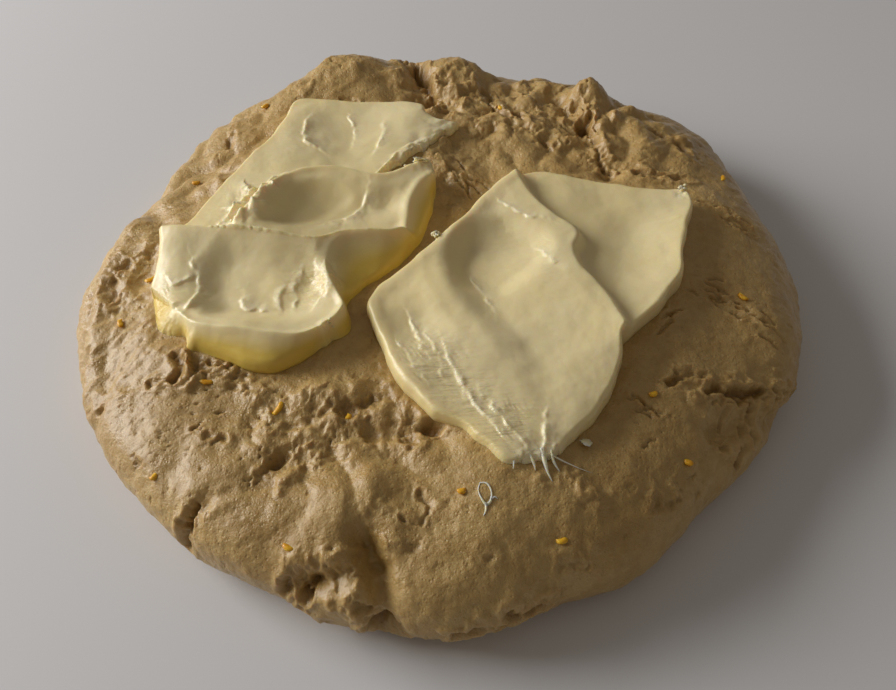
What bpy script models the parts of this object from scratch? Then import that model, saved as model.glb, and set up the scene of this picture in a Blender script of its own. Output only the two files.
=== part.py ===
"""Raw stollen dough patted into a thick round, with two slabs of soft butter smeared on top.

The dough is one solid: a round worked out from a plan outline and a side profile, with its lumps,
folds and clefts pushed along the surface, and slivers of orange zest fused on. Each butter slab is
one solid whose top is a height over the dough and whose underside is cut to the dough's own top.
The object stands on its flat foot at z = 0, with its front towards -Y.
"""

import math

import bmesh
import bpy
import numpy as np
from mathutils import Vector
from mathutils.geometry import delaunay_2d_cdt

MM = 0.001  # everything below is in millimetres, and meshes are made in metres

# Dough round
OUTLINE_RADII = [128, 129, 132, 141, 130, 128, 129, 143, 131, 138, 127, 129,
                 131, 137, 131, 134, 127, 133, 130, 128, 122, 124, 122, 130]  # every 15 degrees from +X
DOUGH_HEIGHT = 37.0  # crown of the top, before its lumps
WIDEST_HEIGHT = 13.0  # where the side bulges out most
TOP_POWER = 4.0  # how square the shoulder is
SHOULDER_POWER = 2.1
FOOT_INSET = 0.075  # how far the foot tucks in, as a share of the radius
FOOT_FADE = 9.0  # relief dies out this far above the foot
DOUGH_GRID = 54  # quads across the round

# Broad swells and hollows of the dough: x, y, reach, height
SWELLS = [
    (-4, 0, 62, -4.0),  # the middle is pressed down
    (-41, 117, 20, 9.0),  # lump at the back left
    (-66, 102, 18, 3.5),
    (8, 117, 16, 7.0),  # the lump beside it
    (35, 108, 14, 4.0),
    (58, 94, 11, 7.0),  # torn crest at the back right
    (88, 58, 34, 2.5),
    (102, -8, 34, 2.5),  # smooth bulge on the right
    (-96, -27, 22, -3.0),  # sunken patch on the left
    (-40, -84, 14, -1.0),  # torn valley in front of the butter
    (-27, -98, 9, 2.5),
    (22, -108, 34, 3.0),  # front right lobe
    (-60, -112, 26, 1.5),
]

# Creases and clefts of the dough: width, depth, points (x, y, z)
CREASES = [
    (4.0, 8.0, [(-24, -112, 30), (-20, -121, 24), (-18, -130, 14), (-18, -137, 4)]),  # front cleft
    (4.0, 5.0, [(-42, -122, 20), (-34, -120, 21), (-26, -117, 22)]),  # torn pocket beside it
    (3.0, 2.0, [(-73, -97, 26), (-78, -103, 18), (-80, -110, 9)]),  # notch at the front left
    (6.0, 2.2, [(-54, -92, 31), (-46, -85, 32), (-36, -77, 33)]),  # torn valley
    (4.5, 3.0, [(-24, -75, 33), (-14, -77, 33), (-4, -76, 33)]),
    (4.5, 6.0, [(-15, 124, 18), (-13, 110, 33), (-10, 94, 35)]),  # dip between the back lumps
    (4.5, 5.0, [(47, 94, 32), (54, 74, 34), (58, 58, 34), (62, 44, 34)]),  # valley at the back right
    (5.0, 4.5, [(122, -50, 8), (112, -58, 13), (98, -63, 20), (86, -72, 25)]),  # fold on the right flank
    (4.0, 4.0, [(38, -128, 12), (55, -121, 10), (70, -113, 9)]),  # fold low on the front right
    (4.5, 3.0, [(-118, 36, 26), (-108, 20, 32), (-104, 6, 33), (-110, -8, 32)]),  # fold along the left rim
]
LUMP_SIZE, LUMP_HEIGHT = 40.0, 3.2
KNOB_SIZE, KNOB_HEIGHT = 17.0, 4.6
KNOBBLY = [(5, 88, 46), (60, 74, 36), (-32, -84, 30), (-90, 62, 34)]  # where knobs show: x, y, reach
BED_REACH = 5.0  # how far from a slab's edge its smooth bed begins
BED_RELIEF = 0.15  # share of the knobs that is left in the bed

# Butter slabs
LEFT_OUTLINE = [(-63, 86), (-50, 86), (-36, 84), (-20, 83), (-10, 80), (-9, 74), (-3, 71),
                (4, 69), (-2, 63), (-5, 59), (-14, 51), (-25, 39), (-19, 37), (-7, 40), (-5, 32), (-8, 14), (-16, -4), (-28, -15),
                (-34, -26), (-33, -36), (-41, -44), (-50, -51), (-58, -54), (-68, -51), (-79, -46),
                (-86, -44), (-88, -38), (-95, -36), (-100, -30), (-102, -18), (-101, -4), (-102, 7),
                (-95, 13), (-86, 34), (-73, 58), (-66, 74)]
RIGHT_OUTLINE = [(25, 36), (35, 40), (45, 37), (57, 33), (77, 27), (88, 25), (88, 14), (83, 0),
                 (80, -16), (74, -26), (67, -35), (60, -41), (56, -46), (55, -54), (52, -63), (45, -74),
                 (38, -82), (32, -88), (26, -90), (18, -91), (10, -84), (4, -78), (-1, -75), (-5, -73),
                 (-9, -69), (-15, -60), (-20, -51), (-23, -40), (-27, -29), (-25, -22), (-15, -12),
                 (2, 8), (14, 25)]
BUTTER_EDGE = 3.5  # spacing of the slabs' points
BUTTER_DEPTH = 8.0  # how far a slab runs into the dough before it is cut to fit
CONTACT_GAP = 0.3  # left between a slab and the dough it lies on
RIM_ROUND = 1.5  # radius of the rounded upper edge

LEFT_THICKNESS, EDGE_THICKNESS = 4.8, 2.4
# A crest's height, reach of its gentle side and of its steep one, rounding, fade at its start and its end
LEFT_BACK_FORM = (5.6, 9.0, 4.0, 1.0, 16.0, 0.0)
LEFT_FRONT_FORM = (5.6, 11.0, 5.0, 3.0, 0.0, 0.0)
LEFT_BROW_FORM = (2.8, 6.0)
LEFT_LIP = (0.9, 4.0)  # height and reach of the lip along the brow
FLANK_POWER = 0.8  # how full the tall flank is
LEFT_BACK_CREST = [(-81, 4), (-73, 11), (-66, 23), (-57, 33), (-43, 36), (-29, 32), (-20, 33), (-9, 40)]
LEFT_FRONT_CREST = [(-101, 4), (-88, 2), (-73, 0), (-57, -3), (-46, -4), (-37, 0), (-28, 1), (-20, 1),
                    (-10, 4)]
LEFT_BROW = [(-3, 36), (-10, 29), (-14, 21), (-15, 12), (-16, 5), (-21, 2), (-29, 1), (-37, -1),
             (-42, -7), (-42, -14), (-40, -21), (-37, -28), (-36, -34), (-41, -40), (-48, -44),
             (-57, -45), (-66, -43), (-76, -41), (-84, -38), (-90, -32)]  # top of the tall flank in front
# Bowls and bulges of a slab: x, y, reach, height
LEFT_DENTS = [(-68, -20, 30, 2.6), (-41, 58, 17, -2.2), (-46, 17, 13, -0.8), (-58, -26, 14, -1.0),
              (-96, -2, 8, 2.0), (-95, -16, 8, 2.6), (-92, -28, 7, 1.8), (-60, 72, 8, 1.2),
              (-13, 74, 9, 1.6)]
# Hollows with a steep wall: depth, width of the wall, points round it
LEFT_HOLLOWS = [
    (1.0, 9.0, [(-86, -8), (-80, -4), (-70, -6), (-60, -12), (-56, -24), (-60, -36), (-72, -39), (-81, -36),
                (-85, -28), (-87, -18)]),
    (3.6, 13.0, [(-88, -10), (-80, 0), (-70, 1), (-58, -2), (-47, -4), (-40, -10), (-37, -18), (-38, -28),
                 (-42, -36), (-52, -41), (-62, -42), (-72, -41), (-82, -37), (-87, -28), (-89, -20)]),
    (1.2, 6.0, [(-68, 8), (-66, 19), (-59, 28), (-50, 31), (-38, 28), (-34, 22), (-42, 14), (-50, 8),
                (-60, 5)]),
    (2.2, 12.0, [(-70, 6), (-67, 20), (-59, 29), (-50, 32), (-38, 29), (-27, 28), (-17, 26), (-15, 14), (-27, 8),
                 (-39, 6), (-50, 3), (-60, 2)]),
]
RIGHT_THICKNESS = 4.0
RIGHT_MIDDLE_FORM = (4.2, 10.0, 12.0, 5.0, 22.0, 75.0)
RIGHT_BACK_FORM = (4.8, 17.0, 4.5, 2.0, 0.0, 0.0)
RIGHT_FAR_FORM = (3.8, 13.0)
RIGHT_LIP_FORM = (0.7, 4.5)
RIGHT_MIDDLE_CREST = [(22, 9), (12, 10), (4, 7), (-1, 0), (-4, -10), (-2, -21), (3, -31), (10, -43),
                      (17, -55), (22, -67), (25, -77), (25, -90)]
RIGHT_BACK_CREST = [(24, 38), (28, 26), (32, 18), (38, 10), (44, 4), (45, 0), (43, -6), (44, -15),
                    (49, -24), (53, -33), (57, -46)]
RIGHT_FAR_EDGE = [(88, 25), (88, 17), (85, 6), (81, -6), (78, -18), (69, -32), (60, -42)]
RIGHT_LIP = [(25, 36), (14, 25), (2, 8), (-15, -12), (-25, -22), (-27, -29), (-23, -40), (-20, -51),
             (-15, -60), (-9, -69), (-4, -75)]
RIGHT_DENTS = [(15, -2, 10, -0.8), (-10, -38, 9, -1.8), (2, -62, 8, -1.2), (33, -20, 15, 1.8),
               (66, 4, 15, -2.2), (36, -66, 12, 0.8), (13, 22, 6, 0.5), (44, 26, 8, 0.6),
               (60, -14, 10, -1.0)]
RIGHT_HOLLOWS = [
    (1.8, 9.0, [(8, 12), (1, 4), (-2, -6), (0, -15), (7, -24), (18, -28), (28, -22), (36, -14), (38, -2),
                (32, 8), (22, 14)]),
]

# Orange zest: x, y, length, turn in degrees
ZEST = [(-53, -68, 5.0, 62), (-78, -57, 5.5, -12), (-46, -113, 4.0, -20), (102, -20, 4.0, -48),
        (65, -63, 3.0, 20), (-31, -71, 3.0, 70), (-106, -9, 3.4, 30), (-113, -28, 3.6, -70),
        (4, -99, 2.6, 10), (74, -84, 3.0, -30), (33, -112, 3.4, 15), (-90, -88, 3.0, 50),
        (-77, 92, 3.4, 40), (22, 84, 3.2, -35), (108, 46, 3.6, 75), (-100, 48, 3.0, 15)]
ZEST_WIDTH, ZEST_THICKNESS = 1.7, 1.5

SHARP_ANGLE = 42.0  # edges sharper than this stay crisp
DOUGH_COLOUR = (0.56, 0.39, 0.21, 1)
BUTTER_COLOUR = (0.86, 0.76, 0.44, 1)

NOISE_TABLE = np.random.default_rng(11).permutation(256)
NOISE_SLOPES = np.random.default_rng(12).normal(size=(256, 3))
NOISE_SLOPES /= np.linalg.norm(NOISE_SLOPES, axis=1, keepdims=True)


def clear_scene():
    for old in list(bpy.data.objects):
        bpy.data.objects.remove(old)


def smoothstep(low, high, value):
    t = np.clip((value - low) / (high - low), 0, 1)
    return t * t * (3 - 2 * t)


def gradient_noise(points):
    """Perlin's noise at points given in cells, from about -0.7 to 0.7."""
    cell = np.floor(points).astype(int)
    part = points - cell
    fade = part ** 3 * (part * (part * 6 - 15) + 10)
    total = np.zeros(len(points))
    for corner in np.ndindex(2, 2, 2):
        at = (cell + corner) & 255
        pick = NOISE_TABLE[(NOISE_TABLE[(NOISE_TABLE[at[:, 0]] + at[:, 1]) & 255] + at[:, 2]) & 255]
        weight = np.prod(np.where(corner, fade, 1 - fade), axis=1)
        total += weight * np.einsum("ij,ij->i", NOISE_SLOPES[pick], part - corner)
    return total


def smooth_curve(points, closed, steps=6):
    """A Catmull-Rom curve through the points, as many short straight pieces."""
    points = np.array(points, float)
    count = len(points)
    ends = np.arange(count if closed else count - 1)
    near = [(ends + k) % count if closed else np.clip(ends + k, 0, count - 1) for k in (-1, 0, 1, 2)]
    a, b, c, d = (points[k][:, None] for k in near)
    t = (np.arange(steps) / steps)[None, :, None]
    square, cube = 2 * a - 5 * b + 4 * c - d, 3 * b - a - 3 * c + d
    curve = 0.5 * (2 * b + (c - a) * t + square * t ** 2 + cube * t ** 3)
    curve = curve.reshape(-1, points.shape[1])
    return curve if closed else np.vstack([curve, points[-1]])


def curve_distance(points, curve):
    """Distance to a curve, its side (above 0 on the right) and the share of its length passed."""
    best = np.full(len(points), np.inf)
    side, place = np.zeros(len(points)), np.zeros(len(points))
    lengths = np.linalg.norm(np.diff(curve, axis=0), axis=1)
    before = np.concatenate([[0], np.cumsum(lengths)]) / lengths.sum()
    for k, (a, v) in enumerate(zip(curve[:-1], np.diff(curve, axis=0))):
        share = np.clip((points - a) @ v / (v @ v), 0, 1)
        away = points - a - share[:, None] * v
        distance = np.linalg.norm(away, axis=1)
        nearer = distance < best
        best[nearer] = distance[nearer]
        side[nearer] = np.sign(v[1] * away[nearer, 0] - v[0] * away[nearer, 1])
        place[nearer] = before[k] + (before[k + 1] - before[k]) * share[nearer]
    return best, side, place


def inside_distance(points, outline):
    """Distance to a closed outline, above 0 inside it."""
    ring = np.vstack([outline, outline[:1]])
    distance, *_ = curve_distance(points, ring)
    x, y = points[:, 0], points[:, 1]
    crossings = np.zeros(len(points), int)
    for (x0, y0), (x1, y1) in zip(ring[:-1], ring[1:]):
        spans = (y0 > y) != (y1 > y)
        if y1 != y0:
            crossings += spans & (x < x0 + (y - y0) * (x1 - x0) / (y1 - y0))
    return np.where(crossings % 2, distance, -distance)


def outline_radius(angle):
    """The round's radius at each angle, through OUTLINE_RADII as a sum of waves."""
    waves = np.fft.rfft(OUTLINE_RADII) / len(OUTLINE_RADII)
    radius = np.full(np.shape(angle), waves[0].real)
    for k, wave in enumerate(waves[1:-1], start=1):
        radius = radius + 2 * (wave.real * np.cos(k * angle) - wave.imag * np.sin(k * angle))
    return radius


def side_profile(count=400):
    """Share of the radius and height along the section, from the crown over the side to the foot."""
    across = np.sin(np.linspace(0, math.pi / 2, count))
    crown = np.maximum(1 - across ** TOP_POWER, 0) ** (1 / SHOULDER_POWER)
    top = np.stack([across, WIDEST_HEIGHT + (DOUGH_HEIGHT - WIDEST_HEIGHT) * crown], axis=1)
    turn = np.linspace(0, math.pi / 2, count // 4)[1:]
    under = np.stack([1 - FOOT_INSET * (1 - np.cos(turn)), WIDEST_HEIGHT * (1 - np.sin(turn))], axis=1)
    return np.vstack([top, under])


def crown_height(x, y):
    """Height of the plain round at x, y, before its relief."""
    share = np.hypot(x, y) / outline_radius(np.arctan2(y, x))
    crown = np.maximum(1 - share ** TOP_POWER, 0) ** (1 / SHOULDER_POWER)
    return WIDEST_HEIGHT + (DOUGH_HEIGHT - WIDEST_HEIGHT) * crown


def spots(x, y, places):
    """Sum of soft round spots, each x, y, reach and, where given, height."""
    total = np.zeros(np.shape(x))
    for place in places:
        height = place[3] if len(place) > 3 else 1.0
        total += height * np.exp(-((x - place[0]) ** 2 + (y - place[1]) ** 2) / place[2] ** 2)
    return total


def dough_relief(points):
    """How far the dough's surface stands out from the plain round: swells, lumps, knobs and creases."""
    x, y = points[:, 0], points[:, 1]
    beds = np.maximum(inside_distance(points[:, :2], LEFT_LOOP), inside_distance(points[:, :2], RIGHT_LOOP))
    open_dough = 1 - (1 - BED_RELIEF) * smoothstep(-BED_REACH, 0, beds)
    relief = spots(x, y, SWELLS)
    relief += LUMP_HEIGHT * gradient_noise(points / LUMP_SIZE) * 1.6
    knobs = 1.9 * np.abs(gradient_noise(points / KNOB_SIZE + 40)) - 0.45
    relief += KNOB_HEIGHT * knobs * np.minimum(spots(x, y, KNOBBLY), 1) * open_dough
    for width, depth, route in CREASES:
        distance, *_ = curve_distance(points, smooth_curve(route, closed=False))
        relief -= depth * np.exp(-(distance / width) ** 2) * open_dough
    return relief


def dough_surface(angle, along):
    """Points of the dough at an angle and a share of the way from the crown (0) to the foot (1)."""
    profile = side_profile()
    steps = np.hypot(np.diff(profile[:, 0]) * np.mean(OUTLINE_RADII), np.diff(profile[:, 1]))
    travelled = np.concatenate([[0], np.cumsum(steps)]) / steps.sum()
    share, height = (np.interp(along, travelled, profile[:, k]) for k in (0, 1))
    sized = profile * (OUTLINE_RADII[0], 1)
    slope_r, slope_z = (np.interp(along, travelled, np.gradient(sized[:, k], travelled))
                        for k in (0, 1))
    length = np.hypot(slope_r, slope_z)
    outward, upward = -slope_z / length, slope_r / length
    radius = share * outline_radius(angle)
    base = np.stack([radius * np.cos(angle), radius * np.sin(angle), height], axis=1)
    upright = smoothstep(0.72, 0.9, share)  # the relief of the top rises straight up
    outward = outward * upright
    push = dough_relief(base) * smoothstep(0, FOOT_FADE, height)
    way = np.stack([outward * np.cos(angle), outward * np.sin(angle), np.where(upright < 1, 1, upward)], axis=1)
    way[:, 2] = upward * upright + (1 - upright)
    moved = base + push[:, None] * way
    moved[:, 2] = np.maximum(moved[:, 2], 0)
    return moved


def disc_grid(count):
    """A square grid bent onto the unit disc: angle, share of the radius, quads, rim."""
    a, b = np.meshgrid(np.linspace(-1, 1, count + 1), np.linspace(-1, 1, count + 1), indexing="ij")
    wide = np.abs(a) > np.abs(b)
    safe = np.where(wide, a, np.where(b == 0, 1, b))
    reach = np.where(wide, a, b)
    turn = np.where(wide, math.pi / 4 * b / safe, math.pi / 2 - math.pi / 4 * a / safe)
    x, y = reach * np.cos(turn), reach * np.sin(turn)
    place = np.arange((count + 1) ** 2).reshape(count + 1, count + 1)
    corners = [place[:-1, :-1], place[1:, :-1], place[1:, 1:], place[:-1, 1:]]
    quads = np.stack(corners, axis=-1).reshape(-1, 4)
    rim = np.concatenate([place[:-1, 0], place[-1, :-1], place[:0:-1, -1], place[0, :0:-1]])
    return np.arctan2(y, x).ravel(), np.hypot(x, y).ravel(), quads, rim


def make_object(name, points, faces, colour, roughness):
    mesh = bpy.data.meshes.new(name)
    mesh.from_pydata((points * MM).tolist(), [], [list(map(int, face)) for face in faces])
    mesh.validate()
    mesh.shade_smooth()
    mesh.set_sharp_from_angle(angle=math.radians(SHARP_ANGLE))
    material = bpy.data.materials.new(name)
    material.use_nodes = True
    shader = material.node_tree.nodes["Principled BSDF"]
    shader.inputs["Base Color"].default_value = colour
    shader.inputs["Roughness"].default_value = roughness
    mesh.materials.append(material)
    made = bpy.data.objects.new(name, mesh)
    bpy.context.scene.collection.objects.link(made)
    return made


def make_dough():
    angle, along, quads, rim = disc_grid(DOUGH_GRID)
    points = dough_surface(angle, along)
    return make_object("dough", points, [*quads, rim[::-1]], DOUGH_COLOUR, 0.5)


def zest_sliver(x, y, length, turn):
    """A squashed six-sided bead, half sunk in the dough at x, y."""
    mesh = bmesh.new()
    bmesh.ops.create_icosphere(mesh, subdivisions=1, radius=0.5)
    points = np.array([vertex.co for vertex in mesh.verts])
    faces = [[vertex.index for vertex in face.verts] for face in mesh.faces]
    mesh.free()
    points *= (length, ZEST_WIDTH, ZEST_THICKNESS)
    c, s = math.cos(math.radians(turn)), math.sin(math.radians(turn))
    points = points @ np.array([[c, s, 0], [-s, c, 0], [0, 0, 1]])
    height = crown_height(x, y) + dough_relief(np.array([[x, y, crown_height(x, y)]], float))[0]
    return make_object("zest", points + (x, y, height + 0.1), faces, DOUGH_COLOUR, 0.5)


def fuse_zest(dough):
    slivers = bpy.data.collections.new("zest")
    bpy.context.scene.collection.children.link(slivers)
    for place in ZEST:
        sliver = zest_sliver(*place)
        bpy.context.scene.collection.objects.unlink(sliver)
        slivers.objects.link(sliver)
    join = dough.modifiers.new("zest", "BOOLEAN")
    join.operation = "UNION"
    join.operand_type = "COLLECTION"
    join.collection = slivers
    join.solver = "EXACT"
    apply_modifiers(dough)
    for sliver in list(slivers.objects):
        bpy.data.objects.remove(sliver)
    bpy.data.collections.remove(slivers)
    dough.data.set_sharp_from_angle(angle=math.radians(SHARP_ANGLE))


def apply_modifiers(made):
    graph = bpy.context.evaluated_depsgraph_get()
    finished = bpy.data.meshes.new_from_object(made.evaluated_get(graph))
    made.modifiers.clear()
    made.data = finished


def crest(points, route, height, gentle, steep, rounding, start, end):
    """A smear's crest: a short drop on the left of the route, and a long gentle rise on its right."""
    curve = smooth_curve(route, closed=False)
    distance, side, place = curve_distance(points, curve)
    length = np.linalg.norm(np.diff(curve, axis=0), axis=1).sum()
    fade = smoothstep(-1e-6, start / length, place) * smoothstep(-1e-6, end / length, 1 - place)
    rise = np.exp(-(np.hypot(distance, rounding) - rounding) / gentle)
    return height * fade * np.where(side < 0, 1 - smoothstep(0, steep, distance), rise)


def sink(points, dents, hollows):
    """Round dents and bulges, and hollows whose floor is reached over the width of their wall."""
    level = spots(points[:, 0], points[:, 1], dents)
    for depth, wall, outline in hollows:
        level -= depth * smoothstep(0, wall, inside_distance(points, smooth_curve(outline, closed=True)))
    return level


def left_thickness(points, to_edge):
    """Three smears folded over each other from back to front, the last with a tall flank below its brow."""
    back = crest(points, LEFT_BACK_CREST, *LEFT_BACK_FORM)
    front = crest(points, LEFT_FRONT_CREST, *LEFT_FRONT_FORM)
    to_front, front_side, _ = curve_distance(points, smooth_curve(LEFT_FRONT_CREST, closed=False))
    to_brow, brow_side, _ = curve_distance(points, smooth_curve(LEFT_BROW, closed=False))
    height, gentle = LEFT_FRONT_FORM[:2]
    brow, reach = LEFT_BROW_FORM
    ahead = np.maximum(height * np.exp(-to_front / gentle), brow * np.exp(-to_brow / reach))
    level = LEFT_THICKNESS + np.where(front_side > 0, ahead, back + front)
    level += sink(points, LEFT_DENTS, LEFT_HOLLOWS) * smoothstep(0, 4, to_brow)
    level += LEFT_LIP[0] * np.exp(-(to_brow / LEFT_LIP[1]) ** 2)
    edge = np.maximum(to_edge, 0) + 0.01
    flank = np.where(brow_side < 0, (edge / (edge + to_brow)) ** FLANK_POWER, 1)
    return EDGE_THICKNESS + (level - EDGE_THICKNESS) * flank


def right_thickness(points, to_edge):
    """Three smears side by side, each rising to the right and dropping at its crest."""
    middle = crest(points, RIGHT_MIDDLE_CREST, *RIGHT_MIDDLE_FORM)
    back = crest(points, RIGHT_BACK_CREST, *RIGHT_BACK_FORM)
    to_far, *_ = curve_distance(points, smooth_curve(RIGHT_FAR_EDGE, closed=False))
    to_lip, *_ = curve_distance(points, smooth_curve(RIGHT_LIP, closed=False))
    far = RIGHT_FAR_FORM[0] * np.exp(-to_far / RIGHT_FAR_FORM[1])
    lip = RIGHT_LIP_FORM[0] * np.exp(-(to_lip / RIGHT_LIP_FORM[1]) ** 2)
    return RIGHT_THICKNESS + middle + back + far + lip + sink(points, RIGHT_DENTS, RIGHT_HOLLOWS)


def even_points(curve, spacing, closed):
    """Points along a curve at an even spacing."""
    run = np.vstack([curve, curve[:1]]) if closed else curve
    travelled = np.concatenate([[0], np.cumsum(np.linalg.norm(np.diff(run, axis=0), axis=1))])
    stops = np.linspace(0, travelled[-1], round(travelled[-1] / spacing) + 1)
    points = np.stack([np.interp(stops, travelled, run[:, k]) for k in (0, 1)], axis=1)
    return points[:-1] if closed else points


def beside(curve, distance):
    """The curve moved sideways, to the left of the way it runs where the distance is above 0."""
    way = np.gradient(curve, axis=0)
    way /= np.linalg.norm(way, axis=1, keepdims=True)
    return curve + distance * np.column_stack([-way[:, 1], way[:, 0]])


def slab_mesh(loop, creases):
    """The slab's plan as triangles: outline, a ring just inside it, crease lines and an even filling."""
    edge = even_points(loop, BUTTER_EDGE, closed=True)
    count = len(edge)
    borders = [(k, (k + 1) % count) for k in range(count)]
    inner = beside(edge, RIM_ROUND)
    points = np.vstack([edge, inner[inside_distance(inner, edge) > 0.75 * RIM_ROUND]])
    for crease in creases:
        line = even_points(crease, BUTTER_EDGE, closed=False)
        line = line[inside_distance(line, edge) > RIM_ROUND + 1]
        joined = np.linalg.norm(np.diff(line, axis=0), axis=1) < 1.5 * BUTTER_EDGE
        borders += [(len(points) + k, len(points) + k + 1) for k in np.flatnonzero(joined)]
        points = np.vstack([points, line])
    low, high = edge.min(axis=0), edge.max(axis=0)
    rows = np.arange(low[1], high[1], BUTTER_EDGE * math.sqrt(3) / 2)
    grid = np.array([(x + BUTTER_EDGE / 2 * (k % 2), y)
                     for k, y in enumerate(rows) for x in np.arange(low[0], high[0], BUTTER_EDGE)])
    spacing = np.linalg.norm(grid[:, None] - points[None], axis=2).min(axis=1)
    grid = grid[(spacing > 0.62 * BUTTER_EDGE) & (inside_distance(grid, edge) > RIM_ROUND)]
    plan = [Vector(point) for point in np.vstack([points, grid])]
    found, _, triangles, *_ = delaunay_2d_cdt(plan, borders, [list(range(count))], 1, 0.01)
    return np.array([tuple(point) for point in found]), triangles


def make_butter(name, loop, creases, thickness, dough):
    """A slab: its thickness over the smooth dough, straight sides, and an underside cut to the dough."""
    plan, triangles = slab_mesh(loop, creases)
    to_edge = inside_distance(plan, loop)
    x, y = plan[:, 0], plan[:, 1]
    bed = crown_height(x, y) + spots(x, y, SWELLS)
    short = np.clip(1 - to_edge / RIM_ROUND, 0, 1)
    rounding = RIM_ROUND * (1 - np.sqrt(1 - short ** 2))
    top = np.column_stack([plan, bed + thickness(plan, to_edge) - rounding])
    under = np.column_stack([plan, bed - BUTTER_DEPTH])
    shift = len(plan)
    faces = [*triangles, *([c + shift, b + shift, a + shift] for a, b, c in triangles)]
    edges = {(face[k], face[(k + 1) % 3]) for face in triangles for k in range(3)}
    faces += [(b, a, a + shift, b + shift) for a, b in edges if (b, a) not in edges]
    butter = make_object(name, np.vstack([top, under]), faces, BUTTER_COLOUR, 0.35)
    cutter = dough.copy()
    cutter.data = dough.data.copy()
    cutter.name = name + "_cutter"
    bpy.context.scene.collection.objects.link(cutter)
    cutter.location.z = CONTACT_GAP * MM
    bpy.context.view_layer.update()
    fit = butter.modifiers.new("fit to the dough", "BOOLEAN")
    fit.operation = "DIFFERENCE"
    fit.solver = "EXACT"
    fit.object = cutter
    apply_modifiers(butter)
    bpy.data.objects.remove(cutter)
    return butter


def centre_on_origin(pieces):
    """Moves the pieces together so that the middle of their box stands over the origin."""
    corners = np.array([vertex.co for piece in pieces for vertex in piece.data.vertices])
    middle = (corners.min(axis=0) + corners.max(axis=0)) / 2
    for piece in pieces:
        for vertex in piece.data.vertices:
            vertex.co.x -= middle[0]
            vertex.co.y -= middle[1]


LEFT_LOOP = smooth_curve(LEFT_OUTLINE[::-1], closed=True, steps=3)
RIGHT_LOOP = smooth_curve(RIGHT_OUTLINE[::-1], closed=True, steps=3)
LEFT_CREASES = [smooth_curve(route, closed=False)
                for route in (LEFT_BACK_CREST, LEFT_FRONT_CREST, LEFT_BROW)]
LEFT_CREASES += [beside(LEFT_CREASES[0], LEFT_BACK_FORM[2]), beside(LEFT_CREASES[1], LEFT_FRONT_FORM[2])]
RIGHT_CREASES = [smooth_curve(route, closed=False) for route in (RIGHT_MIDDLE_CREST, RIGHT_BACK_CREST)]
RIGHT_CREASES += [beside(RIGHT_CREASES[1], RIGHT_BACK_FORM[2])]

clear_scene()
dough_round = make_dough()
slabs = [
    make_butter("butter_left", LEFT_LOOP, LEFT_CREASES, left_thickness, dough_round),
    make_butter("butter_right", RIGHT_LOOP, RIGHT_CREASES, right_thickness, dough_round),
]
fuse_zest(dough_round)
centre_on_origin([dough_round, *slabs])
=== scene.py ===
import math

import bpy
import numpy as np
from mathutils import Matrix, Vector


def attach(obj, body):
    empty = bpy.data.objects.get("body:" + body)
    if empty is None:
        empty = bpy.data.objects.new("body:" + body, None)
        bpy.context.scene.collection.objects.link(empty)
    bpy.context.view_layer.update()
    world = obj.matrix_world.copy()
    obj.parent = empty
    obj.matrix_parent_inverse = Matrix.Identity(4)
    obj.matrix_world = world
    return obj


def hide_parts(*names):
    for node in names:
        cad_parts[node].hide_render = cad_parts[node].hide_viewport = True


# A thick round of raw stollen dough with two smears of soft butter, on a pale worktop.
# Sizes are in millimetres, and meshes are made in metres. The front is towards -Y.

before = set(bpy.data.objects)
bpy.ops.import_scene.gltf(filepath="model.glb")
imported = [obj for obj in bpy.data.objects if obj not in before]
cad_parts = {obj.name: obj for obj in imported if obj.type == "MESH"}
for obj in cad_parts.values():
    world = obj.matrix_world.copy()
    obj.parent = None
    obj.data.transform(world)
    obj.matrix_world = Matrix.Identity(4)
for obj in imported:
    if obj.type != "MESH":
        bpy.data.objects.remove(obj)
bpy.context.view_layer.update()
mm = 0.001
middle = (-2.44, 3.57)  # the plan below is drawn off centre by this much

noiseTables = np.stack([np.random.default_rng(11 + k).permutation(256) for k in range(40)])
noiseSlopes = np.random.default_rng(12).normal(size=(256, 3))
noiseSlopes /= np.linalg.norm(noiseSlopes, axis=1, keepdims=True)
noiseOffsets = np.random.default_rng(13).random((256, 3))
print("frame loaded")


def smoothStep(low, high, value):
    # 0 below low, 1 above high, and t * t * (3 - 2 * t) between
    t = np.clip((value - low) / (high - low), 0, 1)
    return t * t * (3 - 2 * t)


def gradientNoise(points, table=0):
    # a random slope at each corner of a cell, blended with a fifth power curve; about -0.7 to 0.7
    hashes = noiseTables[table]
    cell = np.floor(points).astype(int)
    part = points - cell
    fade = part ** 3 * (part * (part * 6 - 15) + 10)
    total = np.zeros(len(points))
    for corner in np.ndindex(2, 2, 2):
        at = (cell + corner) & 255
        pick = hashes[(hashes[(hashes[at[:, 0]] + at[:, 1]) & 255] + at[:, 2]) & 255]
        weight = np.prod(np.where(corner, fade, 1 - fade), axis=1)
        total += weight * np.einsum("ij,ij->i", noiseSlopes[pick], part - corner)
    return total


def layeredNoise(points, size, layers=3, gain=0.5, table=0, billow=False):
    # noise at halving sizes added up, each layer weaker by the gain; billow folds it into rounded lumps
    total, share = np.zeros(len(points)), 1.0
    for k in range(layers):
        value = gradientNoise(points * 2.03 ** k / size + 17.3 * k, table + k)
        total += share * (2.2 * np.abs(value) - 0.55 if billow else 1.5 * value)
        share *= gain
    return total


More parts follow.
